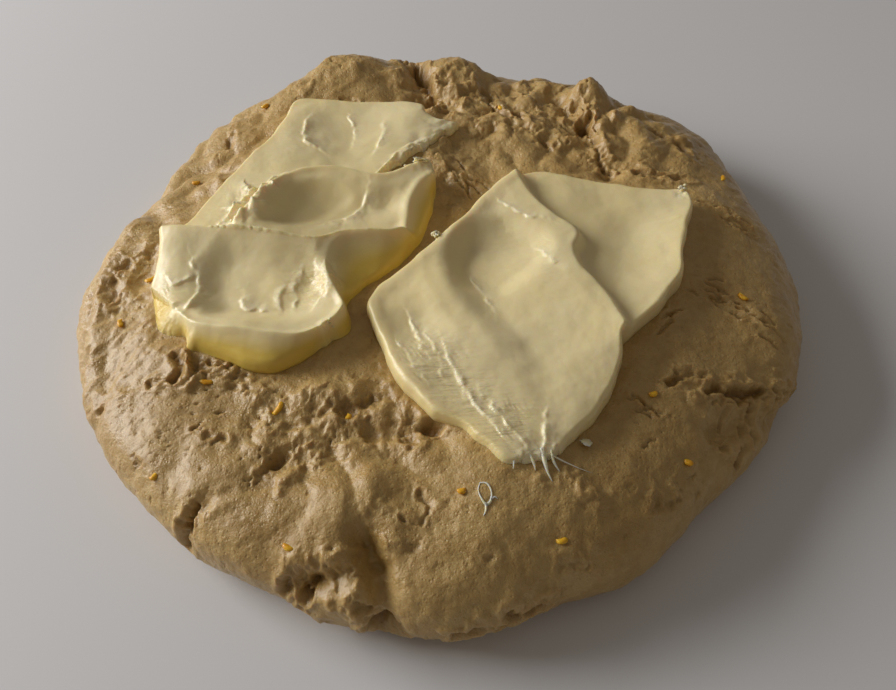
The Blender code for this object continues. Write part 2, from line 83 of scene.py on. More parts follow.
def spotDistance(points, size, table, spread=0.9):
    # distance to the nearest of one random spot per cell, in cells, and the spot's own number, 0 to 1
    hashes = noiseTables[table]
    cells = points / size
    cell = np.floor(cells).astype(int)
    nearest, number = np.full(len(points), 9.0), np.zeros(len(points))
    for step in np.ndindex(3, 3, 3):
        at = cell + step - np.array(1)
        key = hashes[(hashes[(hashes[at[:, 0] & 255] + at[:, 1]) & 255] + at[:, 2]) & 255]
        spot = at + 0.5 + spread * (noiseOffsets[key] - 0.5)
        away = np.sqrt(((cells - spot) ** 2).sum(axis=1))
        closer = away < nearest
        nearest[closer] = away[closer]
        number[closer] = key[closer] / 256
    return nearest, number


def smoothCurve(points, closed=False, steps=6):
    # Catmull-Rom curve through the points
    points = np.array(points, float)
    count = len(points)
    ends = np.arange(count if closed else count - 1)
    near = [(ends + k) % count if closed else np.clip(ends + k, 0, count - 1) for k in (-1, 0, 1, 2)]
    a, b, c, d = (points[k][:, None] for k in near)
    t = (np.arange(steps) / steps)[None, :, None]
    squared, cubed = (2 * a - 5 * b + 4 * c - d) * t ** 2, (3 * b - a - 3 * c + d) * t ** 3
    curve = 0.5 * (2 * b + (c - a) * t + squared + cubed)
    curve = curve.reshape(-1, points.shape[1])
    return curve if closed else np.vstack([curve, points[-1]])


def curveDistance(points, curve, reach=None):
    # distance to a line of short pieces, 1000 beyond the reach, and the side, above 0 to the right of its way
    best, side = np.full(len(points), 1e3), np.zeros(len(points))
    near = np.arange(len(points))
    if reach is not None:
        low, high = curve.min(axis=0) - reach, curve.max(axis=0) + reach
        near = np.flatnonzero(((points > low) & (points < high)).all(axis=1))
    spots = points[near]
    nearBest, nearSide = best[near], side[near]
    for a, v in zip(curve[:-1], np.diff(curve, axis=0)):
        share = np.clip((spots - a) @ v / (v @ v), 0, 1)
        away = spots - a - share[:, None] * v
        distance = np.sqrt((away ** 2).sum(axis=1))
        closer = distance < nearBest
        nearBest[closer] = distance[closer]
        nearSide[closer] = np.sign(v[1] * away[closer, 0] - v[0] * away[closer, 1])
    best[near], side[near] = nearBest, nearSide
    return best, side


def softDistance(points, curve, blend=3.0):
    # -blend * log(sum of exp(-distance / blend) over the pieces), which has no folds inside the curve's bends,
    # and the place along the line, 0 to 1, averaged the same way
    lengths = np.linalg.norm(np.diff(curve, axis=0), axis=1)
    mids = (curve[1:] + curve[:-1]) / 2
    places = (np.cumsum(lengths) - lengths / 2) / lengths.sum()
    total, moment = np.full(len(points), 1e-12), np.zeros(len(points))
    for mid, length, place in zip(mids, lengths, places):
        weight = length * np.exp(-np.linalg.norm(points - mid, axis=1) / blend)
        total += weight
        moment += weight * place
    return np.maximum(-blend * np.log(total / (2 * blend)), 0), moment / total


def insideDistance(points, outline):
    # distance to a closed outline, above 0 inside it
    ring = np.vstack([outline, outline[:1]])
    distance, _ = curveDistance(points, ring)
    x, y = points[:, 0], points[:, 1]
    crossings = np.zeros(len(points), int)
    for (x0, y0), (x1, y1) in zip(ring[:-1], ring[1:]):
        if y1 != y0:
            crossings += ((y0 > y) != (y1 > y)) & (x < x0 + (y - y0) * (x1 - x0) / (y1 - y0))
    return np.where(crossings % 2, distance, -distance)


def softSpots(x, y, places):
    # sum of round bumps, height * exp(-(distance / reach)^2)
    total = np.zeros(np.shape(x))
    for place in places:
        height = place[3] if len(place) > 3 else 1.0
        total += height * np.exp(-((x - place[0]) ** 2 + (y - place[1]) ** 2) / place[2] ** 2)
    return total


def discGrid(count):
    # a square grid bent onto the unit disc with even cells: angle, share of the radius, quads, rim
    a, b = np.meshgrid(np.linspace(-1, 1, count + 1), np.linspace(-1, 1, count + 1), indexing="ij")
    wide = np.abs(a) > np.abs(b)
    safe = np.where(wide, a, np.where(b == 0, 1, b))
    reach = np.where(wide, a, b)
    turn = np.where(wide, math.pi / 4 * b / safe, math.pi / 2 - math.pi / 4 * a / safe)
    x, y = reach * np.cos(turn), reach * np.sin(turn)
    place = np.arange((count + 1) ** 2).reshape(count + 1, count + 1)
    quads = np.stack([place[:-1, :-1], place[1:, :-1], place[1:, 1:], place[:-1, 1:]], axis=-1).reshape(-1, 4)
    rim = np.concatenate([place[:-1, 0], place[-1, :-1], place[:0:-1, -1], place[0, :0:-1]])
    return np.arctan2(y, x).ravel(), np.hypot(x, y).ravel(), quads, rim


def makePiece(name, points, faces, values=None):
    # points in mm of the plan, moved to the part's own middle; faces are a list, or quads and one closing rim;
    # values are named numbers kept on the points for the materials
    place = np.array(points, float)
    place[:, :2] -= middle
    mesh = bpy.data.meshes.new(name)
    if isinstance(faces, tuple):
        quads, rim = faces
        count = len(quads)
        mesh.vertices.add(len(place))
        mesh.vertices.foreach_set("co", (place * mm).ravel())
        mesh.loops.add(4 * count + len(rim))
        mesh.loops.foreach_set("vertex_index", np.concatenate([quads.ravel(), rim]))
        mesh.polygons.add(count + (len(rim) > 0))
        starts = np.arange(count + (len(rim) > 0)) * 4
        mesh.polygons.foreach_set("loop_start", starts)
        mesh.update(calc_edges=True)
    else:
        mesh.from_pydata(place * mm, [], faces)
    mesh.validate()
    mesh.shade_smooth()
    for key, value in (values or {}).items():
        mesh.attributes.new(key, "FLOAT", "POINT").data.foreach_set("value", np.asarray(value, np.float32))
    piece = bpy.data.objects.new(name, mesh)
    bpy.context.scene.collection.objects.link(piece)
    return piece


def applyModifiers(piece):
    # the mesh as its modifiers leave it takes the place of the piece's own
    graph = bpy.context.evaluated_depsgraph_get()
    finished = bpy.data.meshes.new_from_object(piece.evaluated_get(graph))
    piece.modifiers.clear()
    piece.data = finished


# the dough: a round with swells, creases and lumps
doughForm = dict(
    radii=[128, 129, 132, 141, 130, 128, 129, 143, 131, 138, 127, 129, 131, 137, 131, 134, 127, 133, 130,
           128, 122, 124, 122, 130],  # every 15 degrees from +X
    height=37.0, widest=13.0, topPower=4.0, shoulderPower=2.1, footInset=0.075, footFade=9.0,
    grid=560, keptTriangles=190000,
    # broad swells and hollows: x, y, reach, height
    swells=[(-4, 0, 62, -4.0), (-41, 117, 20, 9.0), (-66, 102, 18, 3.5), (8, 117, 16, 7.0),
            (35, 108, 14, 4.0), (58, 94, 11, 7.0), (88, 58, 34, 2.5), (102, -8, 34, 2.5),
            (-96, -27, 22, -3.0), (-40, -84, 14, -1.0), (-27, -98, 9, 2.5), (22, -108, 34, 3.0),
            (-60, -112, 26, 1.5)],
    # creases in the solid as well: width, depth, points
    creases=[(4.0, 8.0, [(-24, -112, 30), (-20, -121, 24), (-18, -130, 14), (-18, -137, 4)]),
             (4.0, 5.0, [(-42, -122, 20), (-34, -120, 21), (-26, -117, 22)]),
             (3.0, 2.0, [(-73, -97, 26), (-78, -103, 18), (-80, -110, 9)]),
             (6.0, 2.2, [(-54, -92, 31), (-46, -85, 32), (-36, -77, 33)]),
             (4.5, 3.0, [(-24, -75, 33), (-14, -77, 33), (-4, -76, 33)]),
             (4.5, 6.0, [(-15, 124, 18), (-13, 110, 33), (-10, 94, 35)]),
             (4.5, 5.0, [(47, 94, 32), (54, 74, 34), (58, 58, 34), (62, 44, 34)]),
             (5.0, 4.5, [(122, -50, 8), (112, -58, 13), (98, -63, 20), (86, -72, 25)]),
             (4.0, 4.0, [(38, -128, 12), (55, -121, 10), (70, -113, 9)]),
             (4.5, 3.0, [(-118, 36, 26), (-108, 20, 32), (-104, 6, 33), (-110, -8, 32)])],
    lumpSize=40.0, lumpHeight=3.2, knobSize=17.0, knobHeight=4.6,
    knobbly=[(5, 88, 46), (60, 74, 36), (-32, -84, 30), (-90, 62, 34)],
    bedReach=5.0, bedRelief=0.15,
)

# its skin, which is finer than the solid's
doughDetail = dict(
    # where the skin is torn into chunks and crumbs: x, y, reach, strength
    torn=[(-6, 100, 18, 1.0), (12, 92, 22, 1.0), (31, 80, 20, 1.0), (52, 74, 16, 1.0), (42, 96, 16, 0.9),
          (0, 48, 15, 0.9), (-13, 57, 10, 0.9), (-45, -80, 14, 1.0), (-27, -71, 13, 1.0), (-9, -72, 9, 0.8),
          (-50, -91, 7, 0.8), (-69, -55, 9, 0.8), (-54, -66, 12, 0.8), (-85, -51, 7, 0.7),
          (-33, -120, 9, 0.9), (40, -98, 6, 0.8), (75, -30, 9, 0.5), (-90, 50, 15, 0.6),
          (-20, -48, 13, 0.8), (-14, -22, 10, 0.7), (76, 50, 16, 0.6), (-60, 100, 16, 0.5),
          (70, 84, 18, 0.5), (-38, 112, 16, 0.5), (4, 22, 9, 0.6)],
    # where it has pores and small dents: x, y, reach, strength
    pitted=[(-96, -62, 26, 0.7), (-66, -78, 24, 0.9), (-112, -4, 14, 0.8), (-104, 26, 18, 0.4),
            (-8, -100, 14, 0.5), (80, -52, 18, 0.6), (60, -90, 22, 0.4), (92, 60, 22, 0.4),
            (98, -22, 14, 0.4)],
    # where it is pulled into slanting folds: x, y, reach, strength
    pulled=[(-108, -34, 24, 1.0), (-112, 10, 20, 0.7), (-70, 92, 26, 0.6), (98, -66, 16, 0.9),
            (84, 66, 24, 0.7)],
    # small clefts, cracks and holes: width, depth, raised lip, points
    clefts=[(2.2, 1.8, 0.8, [(-110, 4, 32), (-117, 0, 30), (-121, -6, 28), (-119, -15, 28)]),
            (2.5, 1.0, 0.4, [(-127, -8, 22), (-127, -18, 22), (-125, -32, 20), (-122, -46, 19)]),
            (0.9, 1.3, 0.4, [(-103, -59, 29), (-109, -60, 27), (-114, -61, 22)]),
            (1.2, 2.4, 0.6, [(-97, -56, 31), (-92, -57, 32), (-88, -55, 32), (-87, -51, 33),
                             (-89, -46, 33)]),
            (1.5, 3.2, 0.9, [(-78, -50, 33), (-72, -52, 33), (-68, -54, 33), (-64, -58, 33),
                             (-61, -61, 33)]),
            (1.4, 2.6, 0.2, [(-82.5, -52, 33), (-82, -48, 33)]),
            (0.9, 1.5, 0.5, [(-80, -75, 32), (-74, -77, 32), (-69, -78, 32)]),
            (0.9, 1.4, 0.5, [(-55, -75, 32), (-53, -69, 33), (-55, -63, 33)]),
            (1.2, 3.4, 0.6, [(-74, -97, 26), (-78, -101, 19), (-80, -106, 12), (-78, -111, 5)]),
            (0.9, 1.3, 0.5, [(-64, -102, 29), (-72, -101, 25), (-79, -100, 20)]),
            (1.3, 2.4, 0.6, [(-56, -90, 30), (-50, -85, 31), (-43, -80, 31), (-37, -77, 32),
                             (-30, -73, 33)]),
            (2.8, 3.2, 0.6, [(-34, -70, 33), (-29, -68, 33), (-24, -65, 33)]),
            (1.3, 3.0, 0.3, [(-47, -91, 28), (-44, -90, 28), (-41, -89, 28)]),
            (1.1, 2.4, 0.4, [(-38, -87, 28), (-34, -85, 28)]),
            (2.4, 3.8, 0.7, [(-17, -79, 33), (-10, -78, 33), (-6, -75, 34), (-1, -73, 35)]),
            (2.4, 6.5, 1.2, [(-20, -110, 25), (-26, -115, 22), (-28, -119, 20), (-25, -123, 17),
                             (-21, -127, 12), (-19, -133, 5)]),
            (1.9, 4.5, 0.9, [(-27, -116, 22), (-33, -119, 20), (-39, -122, 17), (-42, -125, 12)]),
            (1.5, 2.4, 0.6, [(-44, -116, 20), (-47, -121, 15), (-44, -128, 8)]),
            (0.9, 1.8, 0.2, [(11, -118, 28), (13, -118, 28)]),
            (1.8, 3.0, 1.0, [(28, -125, 14), (20, -128, 14), (12, -131, 13), (3, -133, 12)]),
            (1.3, 2.6, 0.9, [(28, -92, 36), (34, -95, 35), (40, -98, 34), (46, -99, 32)]),
            (0.9, 1.2, 0.5, [(-8, -98, 33), (-5, -103, 33), (-9, -107, 32), (-13, -106, 32)]),
            (2.4, 4.5, 1.0, [(-16, 127, 24), (-13, 118, 30), (-10, 109, 33), (-7, 101, 34), (-5, 90, 34)]),
            (1.5, 4.2, 1.6, [(51, 90, 34), (57, 79, 35), (55, 73, 34), (58, 64, 34), (60, 54, 34),
                             (62, 46, 34)]),
            (1.2, 2.2, 0.8, [(20, 86, 34), (27, 81, 34), (39, 60, 34), (48, 62, 34)]),
            (1.2, 2.0, 0.8, [(12, 104, 33), (18, 97, 33), (17, 88, 34), (24, 78, 34)]),
            (1.3, 2.2, 0.7, [(70, -58, 34), (76, -55, 34), (84, -54, 33)]),
            (1.6, 3.0, 1.4, [(84, -60, 31), (95, -58, 27), (104, -55, 23), (118, -47, 12)]),
            (1.4, 2.6, 0.6, [(96, -67, 20), (93, -79, 17)]),
            (1.0, 1.6, 0.6, [(99, -60, 25), (101, -69, 17)]),
            (1.0, 1.6, 0.6, [(106, -57, 21), (109, -64, 11)]),
            (1.0, 1.5, 0.5, [(89, -64, 28), (88, -76, 22)]),
            (1.9, 2.2, 0.6, [(64, -98, 28), (71, -94, 26)]),
            (1.5, 1.6, 0.6, [(32, -118, 24), (40, -116, 22)]),
            (1.2, 1.6, 0.5, [(-98, 60, 32), (-92, 70, 31), (-90, 82, 29)]),
            (1.4, 1.8, 0.6, [(96, 56, 33), (90, 66, 33), (82, 70, 33)]),
            (1.2, 1.8, 0.6, [(70, 44, 35), (80, 42, 35), (92, 40, 34)])],
    # ledges, strips and knobs that stand proud: width, height, points
    ledges=[(1.4, 1.5, [(-84, -59, 33), (-80, -55, 33), (-75, -53, 33)]),
            (1.1, 2.2, [(-86, -41, 33), (-85.5, -47, 33), (-84, -54, 33)]),
            (3.2, 2.2, [(-50, -94, 29), (-42, -87, 30), (-36, -83, 30), (-30, -81, 30), (-22, -81, 32)]),
            (3.2, 2.6, [(-5, 99, 34), (3, 99, 34), (11, 101, 33)]),
            (4.5, 2.4, [(24, 72, 34), (31, 72, 34), (36, 68, 34)]),
            (5.5, 2.4, [(54, 93, 34), (60, 92, 34), (66, 89, 34)]),
            (3.0, 2.4, [(63, 72, 34), (71, 82, 33), (80, 84, 31)]),
            (2.4, 1.8, [(90, 66, 33), (97, 66, 32)]),
            (5.0, 1.6, [(-118, 24, 26), (-122, 0, 26), (-123, -30, 24), (-119, -60, 20)]),
            (3.0, 1.8, [(24, 100, 34), (26, 95, 34)])],
    # clusters of short cuts: x, y, spread along and across, turn, count
    cuts=[(106, 20, 11, 7, -32, 15), (92, -18, 9, 6, -30, 9), (105, -28, 9, 6, -38, 10),
          (74, -31, 5, 5, 40, 6), (7, 40, 9, 5, -50, 9), (-40, 90, 14, 3, 5, 5), (60, -66, 9, 4, -30, 5)],
    cutDepth=1.25, cutWidth=0.6, cutLip=0.5, cutLength=(3, 7.5),
    # soft lumps and shallow mottle of the plain skin: height, size
    skinLumps=(0.85, 16), skinMottle=(0.26, 4.6),
    # domes of the torn skin: size, height, table of random spots
    tornDomes=[(14.0, 3.0, 29), (6.5, 1.3, 30), (3.2, 0.45, 28)],
    tornBillow=(1.1, 15), tornLedge=0.5, foldHeight=0.6,
    # ragged pits: size, depth, where the noise starts to cut, table
    pits=[(6.5, 0.9, 0.6, 31), (3.0, 0.5, 0.6, 32)],
)


def outlineRadius(angle):
    # the round's radius at each angle, a sum of waves through the radii
    waves = np.fft.rfft(doughForm["radii"]) / len(doughForm["radii"])
    radius = np.full(np.shape(angle), waves[0].real)
    for k, wave in enumerate(waves[1:-1], start=1):
        radius = radius + 2 * (wave.real * np.cos(k * angle) - wave.imag * np.sin(k * angle))
    return radius


def crownHeight(x, y):
    # height of the plain round: (1 - share^topPower)^(1 / shoulderPower), from the widest line to the crown
    share = np.hypot(x, y) / outlineRadius(np.arctan2(y, x))
    crown = np.maximum(1 - share ** doughForm["topPower"], 0) ** (1 / doughForm["shoulderPower"])
    return doughForm["widest"] + (doughForm["height"] - doughForm["widest"]) * crown


def sideProfile(count=1200):
    # share of the radius and height along the section, over the crown, round the side and under to the foot
    across = np.sin(np.linspace(0, math.pi / 2, count))
    crown = np.maximum(1 - across ** doughForm["topPower"], 0) ** (1 / doughForm["shoulderPower"])
    top = np.stack([across, doughForm["widest"] + (doughForm["height"] - doughForm["widest"]) * crown], axis=1)
    turn = np.linspace(0, math.pi / 2, count // 4)[1:]
    under = np.stack([1 - doughForm["footInset"] * (1 - np.cos(turn)),
                      doughForm["widest"] * (1 - np.sin(turn))], axis=1)
    return np.vstack([top, under])


def openDough(points):
    # 1 on bare dough, falling to the bed's small share under the butter, and the distance inside the beds
    beds = np.maximum(*(insideDistance(points[:, :2], loop) for loop in bedLoops))
    return 1 - (1 - doughForm["bedRelief"]) * smoothStep(-doughForm["bedReach"], 0, beds), beds


def doughRelief(points, fine=True):
    # how far the surface stands off the plain round: swells + lumps + knobs - creases, then the fine skin,
    # and how far each point lies in a hollow, which its material darkens as painted shade
    x, y = points[:, 0], points[:, 1]
    bare, beds = openDough(points)
    relief = softSpots(x, y, doughForm["swells"])
    relief += doughForm["lumpHeight"] * 1.6 * gradientNoise(points / doughForm["lumpSize"])
    knobs = 1.9 * np.abs(gradientNoise(points / doughForm["knobSize"] + 40)) - 0.45
    relief += doughForm["knobHeight"] * knobs * np.minimum(softSpots(x, y, doughForm["knobbly"]), 1) * bare
    for width, depth, route in doughForm["creases"]:
        distance, _ = curveDistance(points, smoothCurve(route), 3 * width)
        relief -= depth * np.exp(-(distance / width) ** 2) * bare
    if not fine:
        return relief, None
    bare = 1 - smoothStep(-1.5, 1.5, beds)
    waver = np.stack([layeredNoise(points, 11, 2, 0.5, table) for table in (5, 8, 11)], axis=1)
    shiver = np.stack([layeredNoise(points, 3.4, 2, 0.6, table) for table in (6, 9, 12)], axis=1)
    torn = np.clip(softSpots(x, y, doughDetail["torn"]), 0, 1.15)
    torn = np.clip(torn * (0.85 + 0.7 * layeredNoise(points, 14, 2, 0.5, 14)), 0, 1.2)
    pitted = softSpots(x, y, doughDetail["pitted"]) + 0.12 + 0.4 * layeredNoise(points, 20, 2, 0.5, 16)
    pitted = np.clip(pitted, 0, 1)
    pulled = np.clip(softSpots(x, y, doughDetail["pulled"]), 0, 1)
    uneven = np.clip(1 + 0.9 * layeredNoise(points, 7, 3, 0.6, 10), 0.35, 2)
    # the hollow value is painted shade: how much the material darkens each point in clefts, torn hollows and
    # pits
    detail, hollowShade = np.zeros(len(points)), np.zeros(len(points))
    for width, depth, lip, route in doughDetail["clefts"]:
        bent = points + 1.4 * waver + 0.9 * shiver
        distance, _ = curveDistance(bent, smoothCurve(route), 5 * width)
        distance /= width * uneven
        core = np.exp(-distance ** 2)
        detail += lip * np.exp(-(distance - 2) ** 2) - depth * core
        hollowShade = np.maximum(hollowShade, core * min(depth / 3, 1))
    for width, height, route in doughDetail["ledges"]:
        distance, _ = curveDistance(points + 1.2 * waver + 0.6 * shiver, smoothCurve(route), 3 * width)
        detail += height * (1 - smoothStep(0.35, 1.5, distance / width))
    # the plain skin: soft lumps, then a shallow mottle
    lumps, mottle = doughDetail["skinLumps"], doughDetail["skinMottle"]
    detail += (lumps[0] * layeredNoise(points + 2 * waver, lumps[1], 3, 0.5, 18)
               + mottle[0] * layeredNoise(points, mottle[1], 3, 0.6, 21))
    # torn skin: domes 1 - distance^2 packed at three sizes, with ragged ledges between them
    bent = points + 2.6 * waver + 0.7 * shiver
    billow = doughDetail["tornBillow"]
    rough = billow[0] * layeredNoise(bent, billow[1], 3, 0.5, 24, billow=True)
    for size, height, table in doughDetail["tornDomes"]:
        nearest, number = spotDistance(bent + size, size, table)
        rough += height * (0.4 + 1.2 * number) * (0.55 - nearest ** 2)
    steps = 2.3 * layeredNoise(bent, 17, 3, 0.55, 15)
    rough += doughDetail["tornLedge"] * (smoothStep(0.0, 0.25, steps % 1) - (steps % 1))
    detail += smoothStep(0.1, 0.9, torn) * rough
    hollowShade = np.maximum(hollowShade, np.clip(-0.3 * rough - 0.1, 0, 1) * np.clip(torn, 0, 1))
    # sparse ragged pits where a stretched noise runs high
    stretched = np.column_stack([x + 0.6 * y, 1.7 * (y - 0.6 * x), points[:, 2]]) + 2.2 * waver + 1.0 * shiver
    for size, depth, low, table in doughDetail["pits"]:
        run = layeredNoise(stretched, size, 3, 0.6, table)
        hole = smoothStep(low, low + 0.35, run) * np.clip(pitted + 0.6 * torn, 0, 1)
        detail -= depth * hole
        hollowShade = np.maximum(hollowShade, 0.6 * hole)
    # slanting folds: noise stretched along the slant, then short cuts, each with a lip on one side
    slant = np.column_stack([(x + y) / 13, (y - x) / 3.6, points[:, 2] / 8])
    detail += doughDetail["foldHeight"] * pulled * layeredNoise(slant + 0.2 * waver, 1.0, 2, 0.5, 34)
    randoms = np.random.default_rng(31)
    for cx, cy, along, across, turn, count in doughDetail["cuts"]:
        way = np.array([math.cos(math.radians(turn)), math.sin(math.radians(turn))])
        for _ in range(count):
            u, v = randoms.normal(0, 0.5, 2) * (along, across)
            bend, size = randoms.normal(0, 14), randoms.uniform(*doughDetail["cutLength"])
            mid = np.array([cx, cy]) + u * way + v * np.array([-way[1], way[0]])
            lean = np.array([math.cos(math.radians(turn + bend)), math.sin(math.radians(turn + bend))])
            ends = mid + np.outer([-0.5, 0, 0.5], size * lean) + np.outer([0, 0.6, 0], [-lean[1], lean[0]])
            distance, side = curveDistance(points[:, :2] + 0.35 * shiver[:, :2], ends, 4)
            detail += doughDetail["cutLip"] * np.exp(-((distance - 1.1) / 0.8) ** 2) * (side > 0)
            detail -= doughDetail["cutDepth"] * np.exp(-(distance / doughDetail["cutWidth"]) ** 2)
    return relief + bare * detail, dict(hollowShade=hollowShade * bare)


def doughSurface(angle, along):
    # the profile carried round the outline, moved straight up on the top and outwards on the side
    profile = sideProfile()
    steps = np.hypot(np.diff(profile[:, 0]) * np.mean(doughForm["radii"]), np.diff(profile[:, 1]))
    travelled = np.concatenate([[0], np.cumsum(steps)]) / steps.sum()
    share, height = (np.interp(along, travelled, profile[:, k]) for k in (0, 1))
    scaled = profile * (doughForm["radii"][0], 1)
    slopeR, slopeZ = (np.interp(along, travelled, np.gradient(scaled[:, k], travelled)) for k in (0, 1))
    length = np.hypot(slopeR, slopeZ)
    outward, upward = -slopeZ / length, slopeR / length
    radius = share * outlineRadius(angle)
    base = np.stack([radius * np.cos(angle), radius * np.sin(angle), height], axis=1)
    upright = smoothStep(0.72, 0.9, share)
    push, values = doughRelief(base)
    push = push * smoothStep(0, doughForm["footFade"], height)
    way = np.stack([outward * upright * np.cos(angle), outward * upright * np.sin(angle),
                    upward * upright + 1 - upright], axis=1)
    moved = base + push[:, None] * way
    moved[:, 2] = np.maximum(moved[:, 2], 0)
    return moved, values


# the left butter: three smears folded over each other
leftForm = dict(
    outline=[(-63, 86), (-50, 86), (-36, 84), (-20, 83), (-10, 80), (-9, 74), (-3, 71), (4, 69), (-2, 63),
             (-5, 59), (-14, 51), (-25, 39), (-19, 37), (-7, 40), (-5, 32), (-8, 14), (-16, -4), (-28, -15),
             (-34, -26), (-33, -36), (-41, -44), (-50, -51), (-58, -54), (-68, -51), (-79, -46), (-86, -44),
             (-88, -38), (-95, -36), (-100, -30), (-102, -18), (-101, -4), (-102, 7), (-95, 13), (-86, 34),
             (-73, 58), (-66, 74)],
    heart=(-60, 18), thickness=4.8, edgeThickness=2.4, flankPower=0.8,
    backCrest=[(-81, 4), (-73, 11), (-66, 23), (-57, 33), (-43, 36), (-29, 32), (-20, 33), (-9, 40)],
    # height, gentle reach, steep reach, rounding, fade at the start and the end
    backCrestForm=(5.6, 9.0, 4.0, 1.0, 16.0, 0.0),
    frontCrest=[(-101, 4), (-88, 2), (-73, 0), (-57, -3), (-46, -4), (-37, 0), (-28, 1), (-20, 1),
                (-10, 4)],
    frontCrestForm=(5.6, 11.0, 5.0, 3.0, 0.0, 0.0),
    brow=[(-3, 36), (-10, 29), (-14, 21), (-15, 12), (-16, 5), (-21, 2), (-29, 1), (-37, -1), (-42, -7),
          (-42, -14), (-40, -21), (-36.5, -28), (-35, -34), (-41, -41.5), (-48, -45.5), (-57, -45),
          (-66, -43), (-76, -41), (-84, -38), (-90, -32)],
    browForm=(2.8, 6.0), browRound=1.2, lipHeight=1.2, lipReach=2.2,
    # hollows with a steep wall: depth, width of the wall, points round it
    hollows=[(1.0, 9.0, [(-86, -8), (-80, -4), (-70, -6), (-60, -12), (-56, -24), (-60, -36), (-72, -39),
                         (-81, -36), (-85, -28), (-87, -18)]),
             (3.6, 13.0, [(-88, -10), (-80, 0), (-70, 1), (-58, -2), (-47, -4), (-40, -10), (-37, -18),
                          (-38, -28), (-42, -36), (-52, -41), (-62, -42), (-72, -41), (-82, -37),
                          (-87, -28), (-89, -20)]),
             (1.2, 6.0, [(-68, 8), (-66, 19), (-59, 28), (-50, 31), (-38, 28), (-34, 22), (-42, 14),
                         (-50, 8), (-60, 5)]),
             (2.2, 12.0, [(-70, 6), (-67, 20), (-59, 29), (-50, 32), (-38, 29), (-27, 28), (-17, 26),
                          (-15, 14), (-27, 8), (-39, 6), (-50, 3), (-60, 2)])],
    # bowls, bulges and dents: x, y, reach, height
    dents=[(-68, -20, 30, 2.6), (-41, 58, 17, -2.2), (-46, 17, 13, -0.8), (-58, -26, 14, -1.0),
           (-96, -2, 8, 2.0), (-95, -16, 8, 2.6), (-92, -28, 7, 1.8), (-60, 72, 8, 1.2), (-13, 74, 9, 1.6),
           (-86, -34, 4, -0.8), (-48, -8, 7, 0.6), (-74, 4, 4, 0.9), (-47, -19, 2.6, -0.6),
           (-43, -25, 2.0, -0.7), (-22, 24, 5, -0.6)],
    # marks drawn up by the knife: width, height, points
    ridges=[(0.9, 0.8, [(-55, 74), (-57, 67), (-57, 61), (-53, 55), (-48, 50)]),
            (0.8, 0.6, [(-26, 68), (-26, 60), (-29, 52)]),
            (0.7, 0.4, [(-40, 74), (-37, 66), (-38, 58)]),
            (1.4, 1.7, [(-60, 38), (-66, 34), (-70, 28), (-75, 22), (-78, 15), (-82, 9)]),
            (1.2, 1.4, [(-66, 26), (-70, 20), (-73, 13), (-77, 6)]),
            (1.0, 1.2, [(-66, 15), (-70, 15), (-75, 18), (-80, 19)]),
            (1.0, 1.2, [(-64, 24), (-71, 26), (-75, 31)]),
            (1.3, 0.9, [(-88, -11), (-85, -19), (-85, -27), (-88, -34)]),
            (0.9, 0.5, [(-97, -18), (-93, -20), (-88, -18)]),
            (0.9, 0.5, [(-70, -22), (-67, -28), (-62, -31)]),
            (0.7, 0.45, [(-51, -29), (-52, -22), (-50, -15)]),
            (0.8, 0.6, [(-46, -12), (-42, -18), (-41, -24), (-44, -30)]),
            (0.7, 0.4, [(-56, -31), (-57, -25), (-55, -20)]),
            (0.9, 0.9, [(-12, 57), (-19, 51), (-22, 45), (-27, 38)]),
            (1.2, 0.8, [(-30, 26), (-31, 20), (-36, 14), (-44, 10)])],
    # where the knife dragged it rough, and where it is torn: x, y, reach, strength
    dragged=[(-46, -20, 9, 0.8), (-70, 24, 8, 0.5), (-56, 62, 7, 0.4), (-96, -26, 7, 0.8),
             (-26, 58, 6, 0.3)],
    torn=[(-76, 22, 6, 0.5), (-72, 12, 5, 0.5), (-80, 9, 5, 0.5), (-2, 67, 6, 0.7), (-10, 55, 5, 0.9),
          (-18, 43, 6, 1.0), (-9, 42, 5, 1.0), (-94, -35, 5, 0.4), (-87, -42, 4, 0.4), (-40, -42, 4, 0.5)],
    grid=250,
)

